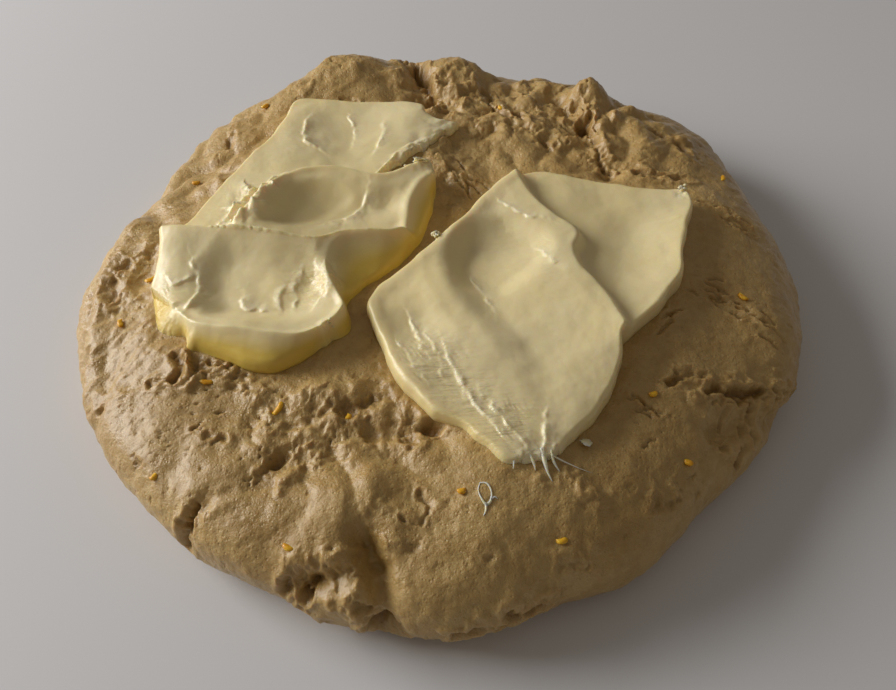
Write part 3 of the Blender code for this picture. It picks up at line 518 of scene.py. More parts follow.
# the right butter: three smears side by side
rightForm = dict(
    outline=[(25, 36), (35, 40), (45, 37), (57, 33), (77, 27), (88, 25), (88, 14), (83, 0), (80, -16),
             (74, -26), (67, -35), (60, -41), (56, -46), (55, -54), (52, -63), (45, -74), (38, -82),
             (32, -88), (26, -90), (18, -91), (10, -84), (4, -78), (-1, -75), (-5, -73), (-9, -69),
             (-15, -60), (-20, -51), (-23, -40), (-27, -29), (-25, -22), (-15, -12), (2, 8), (14, 25)],
    heart=(28, -24), thickness=4.0,
    middleCrest=[(22, 9), (12, 10), (4, 7), (-1, 0), (-4, -10), (-2, -21), (3, -31), (10, -43), (17, -55),
                 (22, -67), (25, -77), (25, -90)],
    middleCrestForm=(4.2, 10.0, 12.0, 5.0, 22.0, 75.0),
    backCrest=[(24, 38), (28, 26), (32, 18), (38, 10), (44, 4), (45, 0), (43, -6), (44, -15), (49, -24),
               (53, -33), (57, -46)],
    backCrestForm=(4.8, 17.0, 4.5, 2.0, 0.0, 0.0),
    farEdge=[(88, 25), (88, 17), (85, 6), (81, -6), (78, -18), (69, -32), (60, -42)],
    farEdgeHeight=3.8, farEdgeReach=13.0,
    lip=[(25, 36), (14, 25), (2, 8), (-15, -12), (-25, -22), (-27, -29), (-23, -40), (-20, -51), (-15, -60),
         (-9, -69), (-4, -75)],
    lipHeight=0.7, lipReach=3.2,
    hollows=[(1.8, 9.0, [(8, 12), (1, 4), (-2, -6), (0, -15), (7, -24), (18, -28), (28, -22), (36, -14),
                         (38, -2), (32, 8), (22, 14)])],
    dents=[(15, -2, 10, -0.8), (-10, -38, 9, -1.8), (2, -62, 8, -1.2), (33, -20, 15, 1.8),
           (36, -15, 4, -0.5), (66, 4, 15, -2.2), (36, -66, 12, 0.8), (13, 22, 6, 0.5), (44, 26, 8, 0.6),
           (60, -14, 10, -1.0)],
    ridges=[(0.8, 0.5, [(-8, -42), (-4, -52), (-2, -60)]),
            (0.8, 0.5, [(-3, -44), (0, -54), (4, -62), (5, -70)]),
            (0.9, 0.6, [(10, -66), (14, -73), (19, -80), (24, -89)]),
            (0.8, 0.6, [(4, -62), (9, -72), (15, -81), (21, -88)]),
            (0.9, 0.8, [(30, -75), (29, -83), (27, -90)]),
            (0.7, 0.4, [(19, 20), (26, 13), (31, 10), (37, 7)]),
            (0.6, 0.35, [(31, -6), (34, -10), (37, -14)]),
            (0.7, 0.4, [(8, -16), (12, -25), (15, -33)]),
            (0.8, 0.5, [(-13, -34), (-10, -42), (-9, -50)]),
            (0.7, 0.4, [(-15, -46), (-12, -54), (-8, -62)])],
    dragged=[(-5, -52, 9, 0.9), (4, -66, 8, 0.9), (16, -78, 9, 0.9), (34, -6, 6, 0.3), (20, 2, 8, 0.25),
             (33, -18, 5, 0.3), (80, 10, 5, 0.3)],
    torn=[(24, -91, 5, 0.9), (31, -88, 4, 0.7), (86, 24, 3, 0.6), (-4, 2, 3, 0.5)],
    grid=250,
)

leftLoop = smoothCurve(leftForm["outline"][::-1], closed=True, steps=5)
rightLoop = smoothCurve(rightForm["outline"][::-1], closed=True, steps=5)
bedLoops = [smoothCurve(form["outline"][::-1], closed=True, steps=2) for form in (leftForm, rightForm)]


def crest(points, route, height, gentle, steep, rounding, start, end):
    # a smear's crest: height * exp(-distance / gentle) on the right of the route, an S drop on its left,
    # faded at its ends
    curve = smoothCurve(route)
    distance, side = curveDistance(points, curve)
    soft, place = softDistance(points, curve)
    length = np.linalg.norm(np.diff(curve, axis=0), axis=1).sum()
    fade = smoothStep(-1e-6, start / length, place) * smoothStep(-1e-6, end / length, 1 - place)
    near = smoothStep(0, 6, distance)
    rise = np.exp(-(np.hypot(distance * (1 - near) + soft * near, rounding) - rounding) / gentle)
    return height * fade * np.where(side < 0, 1 - smoothStep(0, steep, distance), rise)


def steepHollows(points, hollows):
    # each one sinks by depth * smoothStep(0, wall width, distance inside its outline)
    total = np.zeros(len(points))
    for depth, wall, outline in hollows:
        total -= depth * smoothStep(0, wall, insideDistance(points[:, :2], smoothCurve(outline, closed=True)))
    return total


def leftThickness(points, toEdge):
    # thickness + crests + hollows + lip; below the brow it falls as (edge / (edge + past the brow))^flankPower
    form = leftForm
    back = crest(points, form["backCrest"], *form["backCrestForm"])
    front = crest(points, form["frontCrest"], *form["frontCrestForm"])
    toFront, frontSide = curveDistance(points, smoothCurve(form["frontCrest"]))
    toBrow, browSide = curveDistance(points, smoothCurve(form["brow"]))
    height, gentle = form["frontCrestForm"][:2]
    browHeight, browReach = form["browForm"]
    ahead = np.maximum(height * np.exp(-toFront / gentle), browHeight * np.exp(-toBrow / browReach))
    level = form["thickness"] + np.where(frontSide > 0, ahead, back + front)
    sunk = steepHollows(points, form["hollows"]) + softSpots(points[:, 0], points[:, 1], form["dents"])
    level += sunk * smoothStep(0, 4, toBrow)
    level += form["lipHeight"] * np.exp(-(toBrow / form["lipReach"]) ** 2)
    edge = np.maximum(toEdge, 0) + 0.01
    past = np.hypot(toBrow, form["browRound"]) - form["browRound"]
    flank = np.where(browSide < 0, (edge / (edge + past)) ** form["flankPower"], 1)
    return form["edgeThickness"] + (level - form["edgeThickness"]) * flank, 1 - flank


def rightThickness(points, toEdge):
    # thickness + the two crests + a rise to the far edge + the lip + hollows
    form = rightForm
    middleRise = crest(points, form["middleCrest"], *form["middleCrestForm"])
    backRise = crest(points, form["backCrest"], *form["backCrestForm"])
    toFar, _ = curveDistance(points, smoothCurve(form["farEdge"]))
    toLip, _ = curveDistance(points, smoothCurve(form["lip"]))
    lip = form["lipHeight"] * np.exp(-((toLip - 2) / form["lipReach"]) ** 2)
    farRise = form["farEdgeHeight"] * np.exp(-toFar / form["farEdgeReach"])
    level = form["thickness"] + middleRise + backRise + farRise
    sunk = steepHollows(points, form["hollows"]) + softSpots(points[:, 0], points[:, 1], form["dents"])
    return level + lip + sunk, np.zeros(len(points))


# the butter's surface: height and size of the broad ripples, the fine ones and the torn places, the depth of
# the drag marks, and how far the edge wavers and rounds over
knifeWork = dict(ripples=(0.7, 26), fineRipples=(0.1, 6), tornBillow=(1.3, 6.0), dragDepth=0.28,
                 edgeWaver=(0.9, 11), tornWaver=(2.0, 3.6), rimRound=1.6, wallRows=9)


def butterDetail(points, form):
    # broad soft ripples, then drag marks of the knife (stretched noise) and torn places (fine noise)
    x, y = points[:, 0], points[:, 1]
    dragged = np.clip(softSpots(x, y, form["dragged"]), 0, 1)
    torn = np.clip(softSpots(x, y, form["torn"]), 0, 1)
    turned = np.column_stack([(x + 0.7 * y) / 2.2, (0.7 * x - y) / 15, np.zeros(len(x))])
    waver = layeredNoise(points, 12, 2, 0.5, 27)[:, None]
    drag = np.abs(layeredNoise(turned + 0.5 * waver, 1.0, 2, 0.45, 35))
    (broad, broadSize), (fine, fineSize) = knifeWork["ripples"], knifeWork["fineRipples"]
    relief = (broad * layeredNoise(points, broadSize, 3, 0.5, 34)
              + fine * layeredNoise(points, fineSize, 3, 0.55, 20))
    patchy = smoothStep(-0.1, 0.35, layeredNoise(points, 7, 2, 0.5, 23))
    relief -= knifeWork["dragDepth"] * dragged * patchy * smoothStep(0.3, 0.0, drag)
    billow, billowSize = knifeWork["tornBillow"]
    relief += billow * torn * layeredNoise(points + 0.6 * waver, billowSize, 3, 0.5, 31, billow=True)
    shiver = layeredNoise(points, 5, 2, 0.5, 26)
    bent = points[:, :2] + 1.2 * waver + 1.0 * shiver[:, None]
    for width, height, route in form["ridges"]:
        curve = smoothCurve(route)
        distance, side = curveDistance(bent, curve, 7 * width)
        _, place = softDistance(points[:, :2], curve)
        tapered = smoothStep(0, 0.3, place) * smoothStep(0, 0.3, 1 - place)
        tapered *= np.clip(1 + 1.5 * shiver, 0.3, 1.4)
        steep, gentle = np.exp(-(distance / (0.6 * width)) ** 2), np.exp(-distance / (2.2 * width))
        lip = np.where(side > 0, steep, gentle) * tapered
        relief += height * lip
        # painted highlight: the ridge's lip raises the torn share, which the material paints paler
        torn = np.maximum(torn, 0.9 * np.clip(lip, 0, 1))
    return relief, dict(dragged=dragged, torn=torn)


def makeButter(name, form, loop, thickness):
    # rays from the heart to the outline carry the top; its edge rounds over and a wall goes down into the dough
    angle, share, quads, rim = discGrid(form["grid"])
    ring = np.vstack([loop, loop[:1]])
    travelled = np.concatenate([[0], np.cumsum(np.linalg.norm(np.diff(ring, axis=0), axis=1))])
    stop = (angle / (2 * math.pi) % 1) * travelled[-1]
    edge = np.stack([np.interp(stop, travelled, ring[:, k]) for k in (0, 1)], axis=1)
    heart = np.array(form["heart"])
    plan = heart + (1 - (1 - share) ** 1.25)[:, None] * (edge - heart)
    toEdge = np.maximum(insideDistance(plan, loop), 0)
    toEdge[rim] = 0
    over, flank = thickness(plan, toEdge)
    # the edge wavers a little, and more where it is torn
    ripple = np.column_stack([plan, np.zeros(len(plan))])
    ragged = np.clip(softSpots(plan[:, 0], plan[:, 1], form["torn"]), 0, 1)
    (waver, waverSize), (tear, tearSize) = knifeWork["edgeWaver"], knifeWork["tornWaver"]
    for axis, table in ((0, 19), (1, 24)):
        shift = (waver * layeredNoise(ripple, waverSize, 2, 0.5, table)
                 + tear * ragged * layeredNoise(ripple, tearSize, 3, 0.6, table + 3))
        plan[:, axis] += shift * np.exp(-toEdge / 2.2)
    relief, values = butterDetail(ripple, form)
    rimRound = knifeWork["rimRound"] * (1 + 0.3 * layeredNoise(ripple, 14, 2, 0.5, 33))
    short = np.clip(1 - toEdge / rimRound, 0, 1)
    over = over + relief * (1 - 0.6 * short) - rimRound * (1 - np.sqrt(1 - short ** 2))
    bed = crownHeight(plan[:, 0], plan[:, 1]) + softSpots(plan[:, 0], plan[:, 1], doughForm["swells"])
    top = np.column_stack([plan, bed + over])
    # the wall: rows below the rim, bulging a little and drawn in at the foot
    rows = knifeWork["wallRows"]
    lip = top[rim]
    under = np.column_stack([lip[:, :2], crownHeight(lip[:, 0], lip[:, 1])])
    foot = under[:, 2] + doughRelief(under, fine=False)[0] - 1.0
    way = np.roll(lip[:, :2], -1, axis=0) - np.roll(lip[:, :2], 1, axis=0)
    way /= np.linalg.norm(way, axis=1, keepdims=True)
    outward = np.column_stack([way[:, 1], -way[:, 0]])
    down = (np.arange(1, rows + 1) / rows)[:, None]
    shift = 0.35 * np.sin(math.pi * down) - 0.7 * down ** 2
    wall = np.concatenate([(lip[None, :, :2] + shift[..., None] * outward).reshape(-1, 2),
                           (lip[:, 2] + (foot - lip[:, 2]) * down).reshape(-1, 1)], axis=1)
    count, start = len(rim), len(top)
    rings = np.vstack([rim, start + np.arange(rows * count).reshape(rows, count)])
    upper, lower = rings[:-1], rings[1:]
    side = np.stack([upper, lower, np.roll(lower, -1, axis=1), np.roll(upper, -1, axis=1)], axis=-1)
    side = side.reshape(-1, 4)
    # painted shade: the flanks below the brow and a strip along the edge get a darker, deeper yellow colour,
    # standing in for shade and light through the thin butter
    values.update(thin=np.maximum(np.clip(1.8 * flank, 0, 1), 0.25 * np.exp(-toEdge / 1.5)))
    values = {key: np.concatenate([value, np.tile(value[rim], rows)]) for key, value in values.items()}
    piece = makePiece(name, np.vstack([top, wall]), (np.vstack([quads, side]), rings[-1][::-1]), values)
    print(name, len(piece.data.polygons), "faces")
    return piece


def newMaterial(name):
    # a material, its node tree and its shader
    material = bpy.data.materials.new(name)
    material.use_nodes = True
    tree = material.node_tree
    return material, tree, tree.nodes["Principled BSDF"]


def setFinish(shader, finish):
    # plain numbers and colours go straight on the shader's own sockets
    for key, value in finish.items():
        shader.inputs[key].default_value = value


def addNode(tree, kind, inputs=None, **settings):
    # a node with its settings, and inputs given as numbers or as sockets to link
    node = tree.nodes.new(kind)
    for key, value in settings.items():
        setattr(node, key, value)
    for key, value in (inputs or {}).items():
        if isinstance(value, bpy.types.NodeSocket):
            tree.links.new(value, node.inputs[key])
        else:
            node.inputs[key].default_value = value
    return node


def addRamp(tree, fac, stops):
    # a colour eased between stops, each a place from 0 to 1 and a colour
    ramp = addNode(tree, "ShaderNodeValToRGB", {"Fac": fac})
    ramp.color_ramp.interpolation = "EASE"
    while len(ramp.color_ramp.elements) < len(stops):
        ramp.color_ramp.elements.new(0.5)
    for element, (place, colour) in zip(ramp.color_ramp.elements, stops):
        element.position = place
        element.color = (*colour, 1)
    return ramp.outputs["Color"]


def noiseValue(tree, vector, scale, detail=4.0, roughness=0.55):
    # soft noise, 0 to 1, at so many cells a metre
    node = addNode(tree, "ShaderNodeTexNoise", {"Vector": vector, "Scale": scale, "Detail": detail,
                                                "Roughness": roughness})
    return node.outputs["Fac"]


def attributeValue(tree, name):
    # one of the named numbers on the points
    return addNode(tree, "ShaderNodeAttribute", attribute_name=name, attribute_type="GEOMETRY").outputs["Fac"]


def mixColour(tree, fac, a, b, blend="MIX"):
    # a * (1 - fac) + b * fac, or a * (1 - fac) + a * b * fac where the blend multiplies
    node = addNode(tree, "ShaderNodeMix", data_type="RGBA", blend_type=blend)
    for key, value in ((0, fac), (6, a), (7, b)):
        if isinstance(value, bpy.types.NodeSocket):
            tree.links.new(value, node.inputs[key])
        else:
            node.inputs[key].default_value = value if key == 0 else (*value, 1)
    return node.outputs[2]


def mathValue(tree, operation, a, b=0.0, clamp=False):
    # a and b added, subtracted or multiplied, and held to 0 to 1 where clamp is set
    node = addNode(tree, "ShaderNodeMath", {0: a, 1: b}, operation=operation, use_clamp=clamp)
    return node.outputs[0]


def wetPatches():
    # shared by dough and butter: a soft noise eases the roughness between wet and dull
    group = bpy.data.node_groups.new("wetPatches", "ShaderNodeTree")
    group.interface.new_socket(name="Vector", in_out="INPUT", socket_type="NodeSocketVector")
    for name in ("Scale", "Wet", "Dull"):
        group.interface.new_socket(name=name, in_out="INPUT", socket_type="NodeSocketFloat")
    group.interface.new_socket(name="Roughness", in_out="OUTPUT", socket_type="NodeSocketFloat")
    given, result = group.nodes.new("NodeGroupInput"), group.nodes.new("NodeGroupOutput")
    spread = noiseValue(group, given.outputs["Vector"], given.outputs["Scale"], 4, 0.6)
    wet, dull = given.outputs["Wet"], given.outputs["Dull"]
    eased = addNode(group, "ShaderNodeMapRange", {"Value": spread, "From Min": 0.35, "From Max": 0.65,
                                                  "To Min": wet, "To Max": dull})
    group.links.new(eased.outputs[0], result.inputs["Roughness"])
    return group


wetGroup = wetPatches()


def wetRoughness(tree, vector, scale, wet, dull):
    # the shared group placed in one material, with its own numbers
    node = tree.nodes.new("ShaderNodeGroup")
    node.node_tree = wetGroup
    tree.links.new(vector, node.inputs["Vector"])
    node.inputs["Scale"].default_value = scale
    node.inputs["Wet"].default_value = wet
    node.inputs["Dull"].default_value = dull
    return node.outputs["Roughness"]


doughLook = dict(
    # the hollow colour is painted shade, the dark colour laid into clefts, pits and torn hollows
    pale=(0.545, 0.37, 0.142), deep=(0.39, 0.23, 0.062), hollowShade=(0.22, 0.105, 0.016),
    mottle=(0.84, 0.78, 0.68),
    evenness=0.35, mottled=0.7, hollowShading=0.85,
    gloss=0.28, dull=0.5, patchScale=60,
    # cells a metre of the broad tone, the fine tone, the pores, the threads and the coarse grain
    broadScale=28, fineScale=190, poreScale=620.0, threadScale=420, coarseScale=170,
    poreHeight=0.3, coarseHeight=0.9, bumpStrength=0.6, bumpDistance=0.0012,
    finish={"Subsurface Weight": 0.4, "Subsurface Radius": (1.0, 0.6, 0.3), "Subsurface Scale": 0.003,
            "IOR": 1.42, "Coat Weight": 0.3, "Coat Roughness": 0.3},
)


def doughMaterial():
    # pale and deep tones in broad noise, painted shade darkening the hollows, with a finely pored, moist skin
    look = doughLook
    material, tree, shader = newMaterial("doughSkin")
    place = addNode(tree, "ShaderNodeTexCoord").outputs["Object"]
    hollowShade = attributeValue(tree, "hollowShade")
    broad = noiseValue(tree, place, look["broadScale"], 3, 0.5)
    fineTone = noiseValue(tree, place, look["fineScale"], 5, 0.6)
    colour = addRamp(tree, broad, [(0.32, look["deep"]), (0.62, look["pale"])])
    colour = mixColour(tree, look["evenness"], look["pale"], colour)
    mottle = addRamp(tree, fineTone, [(0.35, look["mottle"]), (0.6, (1.0, 1.0, 1.0))])
    colour = mixColour(tree, look["mottled"], colour, mottle, "MULTIPLY")
    # painted shade: the dark hollow colour mixed in where the hollow value is high
    shadeShare = mathValue(tree, "MULTIPLY", hollowShade, look["hollowShading"], True)
    colour = mixColour(tree, shadeShare, colour, look["hollowShade"])
    tree.links.new(colour, shader.inputs["Base Color"])
    rough = wetRoughness(tree, place, look["patchScale"], look["gloss"], look["dull"])
    tree.links.new(rough, shader.inputs["Roughness"])
    # pores, threads and a coarse grain, added up
    pores = addNode(tree, "ShaderNodeTexVoronoi", {"Vector": place, "Scale": look["poreScale"]}, feature="F1")
    pores = addNode(tree, "ShaderNodeMapRange", {"Value": pores.outputs["Distance"], "From Min": 0.0,
                                                 "From Max": 0.32}).outputs[0]
    threads = noiseValue(tree, place, look["threadScale"], 5, 0.65)
    height = mathValue(tree, "ADD", mathValue(tree, "MULTIPLY", pores, look["poreHeight"]), threads)
    coarse = noiseValue(tree, place, look["coarseScale"], 3, 0.6)
    height = mathValue(tree, "ADD", height, mathValue(tree, "MULTIPLY", coarse, look["coarseHeight"]))
    bump = addNode(tree, "ShaderNodeBump", {"Height": height, "Strength": look["bumpStrength"],
                                            "Distance": look["bumpDistance"]})
    tree.links.new(bump.outputs["Normal"], shader.inputs["Normal"])
    setFinish(shader, look["finish"])
    return material


butterLook = dict(
    # the flank colour is painted shade, darker and deeper yellow on the flanks and along the edges
    pale=(0.88, 0.755, 0.44), deep=(0.79, 0.635, 0.275), thin=(0.72, 0.50, 0.05), paleTornAndHighlight=(0.93, 0.85, 0.62),
    # the pale torn colour is paler torn butter, and also a painted highlight along the knife ridges
    evenness=0.35, thinned=0.85, tornAndHighlightShare=0.6,
    gloss=0.3, dull=0.46, patchScale=90, draggedGloss=0.15,
    # cells a metre of the broad tone, the knife's streaks and the crumbs
    broadScale=22, streakScale=420, crumbScale=700,
    streakTurn=45, streakStretch=(0.2, 1.0, 0.6), streakHeight=2.2, crumbHeight=0.4,
    bumpStrength=0.7, bumpDistance=0.001,
    finish={"Subsurface Weight": 0.45, "Subsurface Radius": (1.0, 0.7, 0.22), "Subsurface Scale": 0.003,
            "IOR": 1.46, "Coat Weight": 0.15, "Coat Roughness": 0.3},
)


def butterMaterial():
    # pale and deep tones in broad noise, painted shade darker and yellower on flanks and edges, with streaks
    # where the knife dragged it
    look = butterLook
    material, tree, shader = newMaterial("softButter")
    place = addNode(tree, "ShaderNodeTexCoord").outputs["Object"]
    dragged, torn, thin = (attributeValue(tree, key) for key in ("dragged", "torn", "thin"))
    broad = noiseValue(tree, place, look["broadScale"], 3, 0.5)
    colour = addRamp(tree, broad, [(0.35, look["deep"]), (0.65, look["pale"])])
    colour = mixColour(tree, look["evenness"], look["pale"], colour)
    colour = mixColour(tree, mathValue(tree, "MULTIPLY", thin, look["thinned"], True), colour, look["thin"])
    # paler torn butter, and a painted highlight on the knife ridges, which share the torn value
    tornAndHighlightShare = mathValue(tree, "MULTIPLY", torn, look["tornAndHighlightShare"], True)
    colour = mixColour(tree, tornAndHighlightShare, colour, look["paleTornAndHighlight"])
    tree.links.new(colour, shader.inputs["Base Color"])
    rough = wetRoughness(tree, place, look["patchScale"], look["gloss"], look["dull"])
    rough = mathValue(tree, "SUBTRACT", rough, mathValue(tree, "MULTIPLY", dragged, look["draggedGloss"]))
    tree.links.new(rough, shader.inputs["Roughness"])
    across = (0, 0, math.radians(look["streakTurn"]))
    stretch = addNode(tree, "ShaderNodeMapping", {"Vector": place, "Scale": look["streakStretch"],
                                                  "Rotation": across})
    streak = noiseValue(tree, stretch.outputs[0], look["streakScale"], 4, 0.6)
    strength = mathValue(tree, "ADD", mathValue(tree, "MULTIPLY", dragged, look["streakHeight"]), 0.15)
    streak = mathValue(tree, "MULTIPLY", streak, strength)
    crumble = noiseValue(tree, place, look["crumbScale"], 4, 0.6)
    crumble = mathValue(tree, "MULTIPLY", crumble, mathValue(tree, "ADD", torn, 0.05))
    height = mathValue(tree, "ADD", streak, mathValue(tree, "MULTIPLY", crumble, look["crumbHeight"]))
    bump = addNode(tree, "ShaderNodeBump", {"Height": height, "Strength": look["bumpStrength"],
                                            "Distance": look["bumpDistance"]})
    tree.links.new(bump.outputs["Normal"], shader.inputs["Normal"])
    setFinish(shader, look["finish"])
    return material


angle, along, quads, rim = discGrid(doughForm["grid"])
doughPoints, doughValues = doughSurface(angle, along)
dough = makePiece("doughRound", doughPoints, (quads, rim[::-1]), doughValues)
fewer = dough.modifiers.new("fewer faces", "DECIMATE")
fewer.ratio = doughForm["keptTriangles"] / (2 * len(quads))
applyModifiers(dough)
dough.data.materials.append(doughMaterial())
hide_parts("dough")
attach(dough, "root")
print("dough", len(dough.data.polygons), "faces")

butter = butterMaterial()
for name, form, loop, thickness, node in (
        ("butterLeft", leftForm, leftLoop, leftThickness, "butter_left"),
        ("butterRight", rightForm, rightLoop, rightThickness, "butter_right")):
    slab = makeButter(name, form, loop, thickness)
    slab.data.materials.append(butter)
    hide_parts(node)
    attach(slab, "root")


def surfaceHeight(x, y):
    # height of the dough's top at a place in the plan
    spot = np.array([[x, y, crownHeight(x, y)]], float)
    return spot[0, 2] + doughRelief(spot)[0][0]


def joinedLumps(name, lumps, material):
    # many small closed surfaces in one mesh: each is a grid of rings from pole to pole, already in place
    points, faces, start = [], [], 0
    for rings in lumps:
        rows, count = rings.shape[0], rings.shape[1]
        points.append(rings.reshape(-1, 3))
        place = start + np.arange(rows * count).reshape(rows, count)
        for a, b in zip(place[:-1], place[1:]):
            faces += np.stack([a, np.roll(a, -1), np.roll(b, -1), b], axis=1).tolist()
        faces += [place[0][::-1].tolist(), place[-1].tolist()]
        start += rows * count
    piece = makePiece(name, np.vstack(points), faces)
    piece.data.materials.append(material)
    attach(piece, "root")
    return piece


def beadRings(size, turn, place, lean=0.0, rough=0.2, seed=0, power=1.0, rows=9, count=12):
    # rings of an ellipsoid, sin(polar)^power wide, made uneven by noise, leant, turned about Z and moved
    polar = np.linspace(0.12, math.pi - 0.12, rows)[:, None]
    around = np.linspace(0, 2 * math.pi, count, endpoint=False)[None, :]
    wide = np.sin(polar) ** power
    along = -np.cos(polar) * np.ones_like(around)
    ball = np.stack([along, wide * np.cos(around), wide * np.sin(around)], axis=-1)
    uneven = 1 + rough * layeredNoise(ball.reshape(-1, 3) * 1.7 + 9.1 * seed, 1.0, 2, 0.5, 3)
    ball = ball * uneven.reshape(rows, count, 1) * np.array(size) / 2
    bend = 0.12 * size[0] * (ball[..., :1] / (size[0] / 2)) ** 2
    ball = ball + bend * np.array([0, 1, 0])
    c, s = math.cos(lean), math.sin(lean)
    ball = ball @ np.array([[c, 0, s], [0, 1, 0], [-s, 0, c]])
    c, s = math.cos(turn), math.sin(turn)
    return ball @ np.array([[c, s, 0], [-s, c, 0], [0, 0, 1]]) + np.array(place)


zestForm = dict(
    # x, y, length, turn in degrees, lean in degrees
    slivers=[(-53, -68, 5.0, 62, 12), (-78, -57, 5.5, -12, 0), (-46, -113, 4.0, -20, 0),
             (102, -20, 4.0, -48, 0), (65, -63, 3.0, 20, 0), (-31, -71, 3.0, 70, 0), (-106, -9, 3.4, 30, 0),
             (-113, -28, 3.6, -70, 0), (4, -99, 2.6, 10, 0), (74, -84, 3.0, -30, 0), (33, -112, 3.4, 15, 0),
             (-90, -88, 3.0, 50, 0), (-77, 92, 3.4, 40, 0), (22, 84, 3.2, -35, 0), (108, 46, 3.6, 75, 0),
             (-100, 48, 3.0, 15, 0)],
    width=1.9, thickness=1.3, lift=0.5,
)
zestLook = dict(tone=(500, 3), stops=[(0.35, (0.72, 0.34, 0.012)), (0.62, (0.88, 0.52, 0.03))],
                grain=(1500, 2, 0.5), bumpStrength=0.4, bumpDistance=0.0002,
                finish={"Roughness": 0.32, "Subsurface Weight": 0.3, "Subsurface Radius": (1.0, 0.5, 0.1),
                        "Subsurface Scale": 0.001})


def speckledMaterial(name, look):
    # two tones eased in noise, with a grain of finer noise
    material, tree, shader = newMaterial(name)
    place = addNode(tree, "ShaderNodeTexCoord").outputs["Object"]
    colour = addRamp(tree, noiseValue(tree, place, *look["tone"], 0.5), look["stops"])
    tree.links.new(colour, shader.inputs["Base Color"])
    bump = addNode(tree, "ShaderNodeBump", {"Height": noiseValue(tree, place, *look["grain"]),
                                            "Strength": look["bumpStrength"], "Distance": look["bumpDistance"]})
    tree.links.new(bump.outputs["Normal"], shader.inputs["Normal"])
    setFinish(shader, look["finish"])
    return material


zestLumps = []
for k, (x, y, length, turn, lean) in enumerate(zestForm["slivers"]):
    size = (length, zestForm["width"], zestForm["thickness"])
    spot = (x, y, surfaceHeight(x, y) + zestForm["lift"])
    zestLumps.append(beadRings(size, math.radians(turn), spot, math.radians(lean), 0.25, k, 0.6))
zest = joinedLumps("orangeZest", zestLumps, speckledMaterial("orangePeel", zestLook))
print("zest", len(zestLumps), "slivers")


def butterTop(loop, thickness, x, y):
    # height of a slab's top at a place in the plan
    plan = np.array([[x, y]], float)
    toEdge = np.maximum(insideDistance(plan, loop), 0)
    over = thickness(plan, toEdge)[0][0]
    return crownHeight(x, y) + softSpots(x, y, doughForm["swells"]) + over


def threadRings(route, radii, count=8):
    # rings of a round thread carried along a smooth curve, its radius eased between the given ones
    curve = smoothCurve(route, steps=5)
    way = np.gradient(curve, axis=0)
    way /= np.linalg.norm(way, axis=1, keepdims=True)
    across = np.cross(way, (0.31, 0.22, 0.92))
    across /= np.linalg.norm(across, axis=1, keepdims=True)
    other = np.cross(way, across)
    radius = np.interp(np.linspace(0, 1, len(curve)), np.linspace(0, 1, len(radii)), radii)[:, None, None]
    turn = np.linspace(0, 2 * math.pi, count, endpoint=False)[None, :, None]
    return curve[:, None] + radius * (across[:, None] * np.cos(turn) + other[:, None] * np.sin(turn))


crumbForm = dict(
    # clusters of crumbs on or beside a slab: slab, x, y, reach, height over the slab, count, size
    clusters=[("right", -4.5, 1.5, 1.3, 0.6, 9, 1.6), ("right", 87, 26.5, 1.5, 0.3, 10, 1.4),
              ("left", -75, 9, 3.0, 0.5, 4, 2.4), ("left", -38, -40, 1.6, 0.3, 4, 1.3)],
    # torn flakes lying in the notch between two folds: slab, x, y, length, turn and lean in degrees
    flakes=[("left", -18, 38.8, 6.0, 100, -40), ("left", -14.5, 39.2, 7.5, 85, -48),
            ("left", -11, 39.6, 8.0, 95, -50), ("left", -8.0, 39.2, 6.5, 75, -45)],
    flakeWidth=0.45, flakeThickness=0.9, flakeLift=0.05,
)

slabs = dict(left=(leftLoop, leftThickness), right=(rightLoop, rightThickness))
crumbLumps, flakeLumps = [], []
randoms = np.random.default_rng(41)
for key, cx, cy, reach, lift, count, size in crumbForm["clusters"]:
    for _ in range(count):
        x, y = np.array([cx, cy]) + randoms.normal(0, 0.6 * reach, 2)
        z = butterTop(*slabs[key], x, y) + lift * randoms.uniform(-0.4, 1) - 0.2
        shape = size * randoms.uniform(0.5, 1.0) * np.array([1.2, 0.9, 0.75])
        crumbLumps.append(beadRings(shape, randoms.uniform(0, 6), (x, y, z), randoms.uniform(-0.6, 0.6), 0.45,
                                    len(crumbLumps), 0.8, 7, 9))
for key, x, y, length, turn, lean in crumbForm["flakes"]:
    z = butterTop(*slabs[key], x, y) + crumbForm["flakeLift"] * length
    size = (length, crumbForm["flakeWidth"] * length, crumbForm["flakeThickness"])
    flakeLumps.append(beadRings(size, math.radians(turn), (x, y, z), math.radians(lean), 0.5,
                                len(flakeLumps), 1.0, 13, 12))


stickyLook = dict(tone=(260, 3), stops=[(0.35, (0.88, 0.80, 0.52)), (0.65, (0.95, 0.92, 0.76))],
                  grain=(900, 4, 0.6), bumpStrength=0.5, bumpDistance=0.0003,
                  finish={"Roughness": 0.3, "Subsurface Weight": 0.6, "Subsurface Radius": (1.0, 0.8, 0.4),
                          "Subsurface Scale": 0.0015})
sticky = speckledMaterial("stickyButter", stickyLook)
crumbs = joinedLumps("butterCrumbs", crumbLumps, butter)

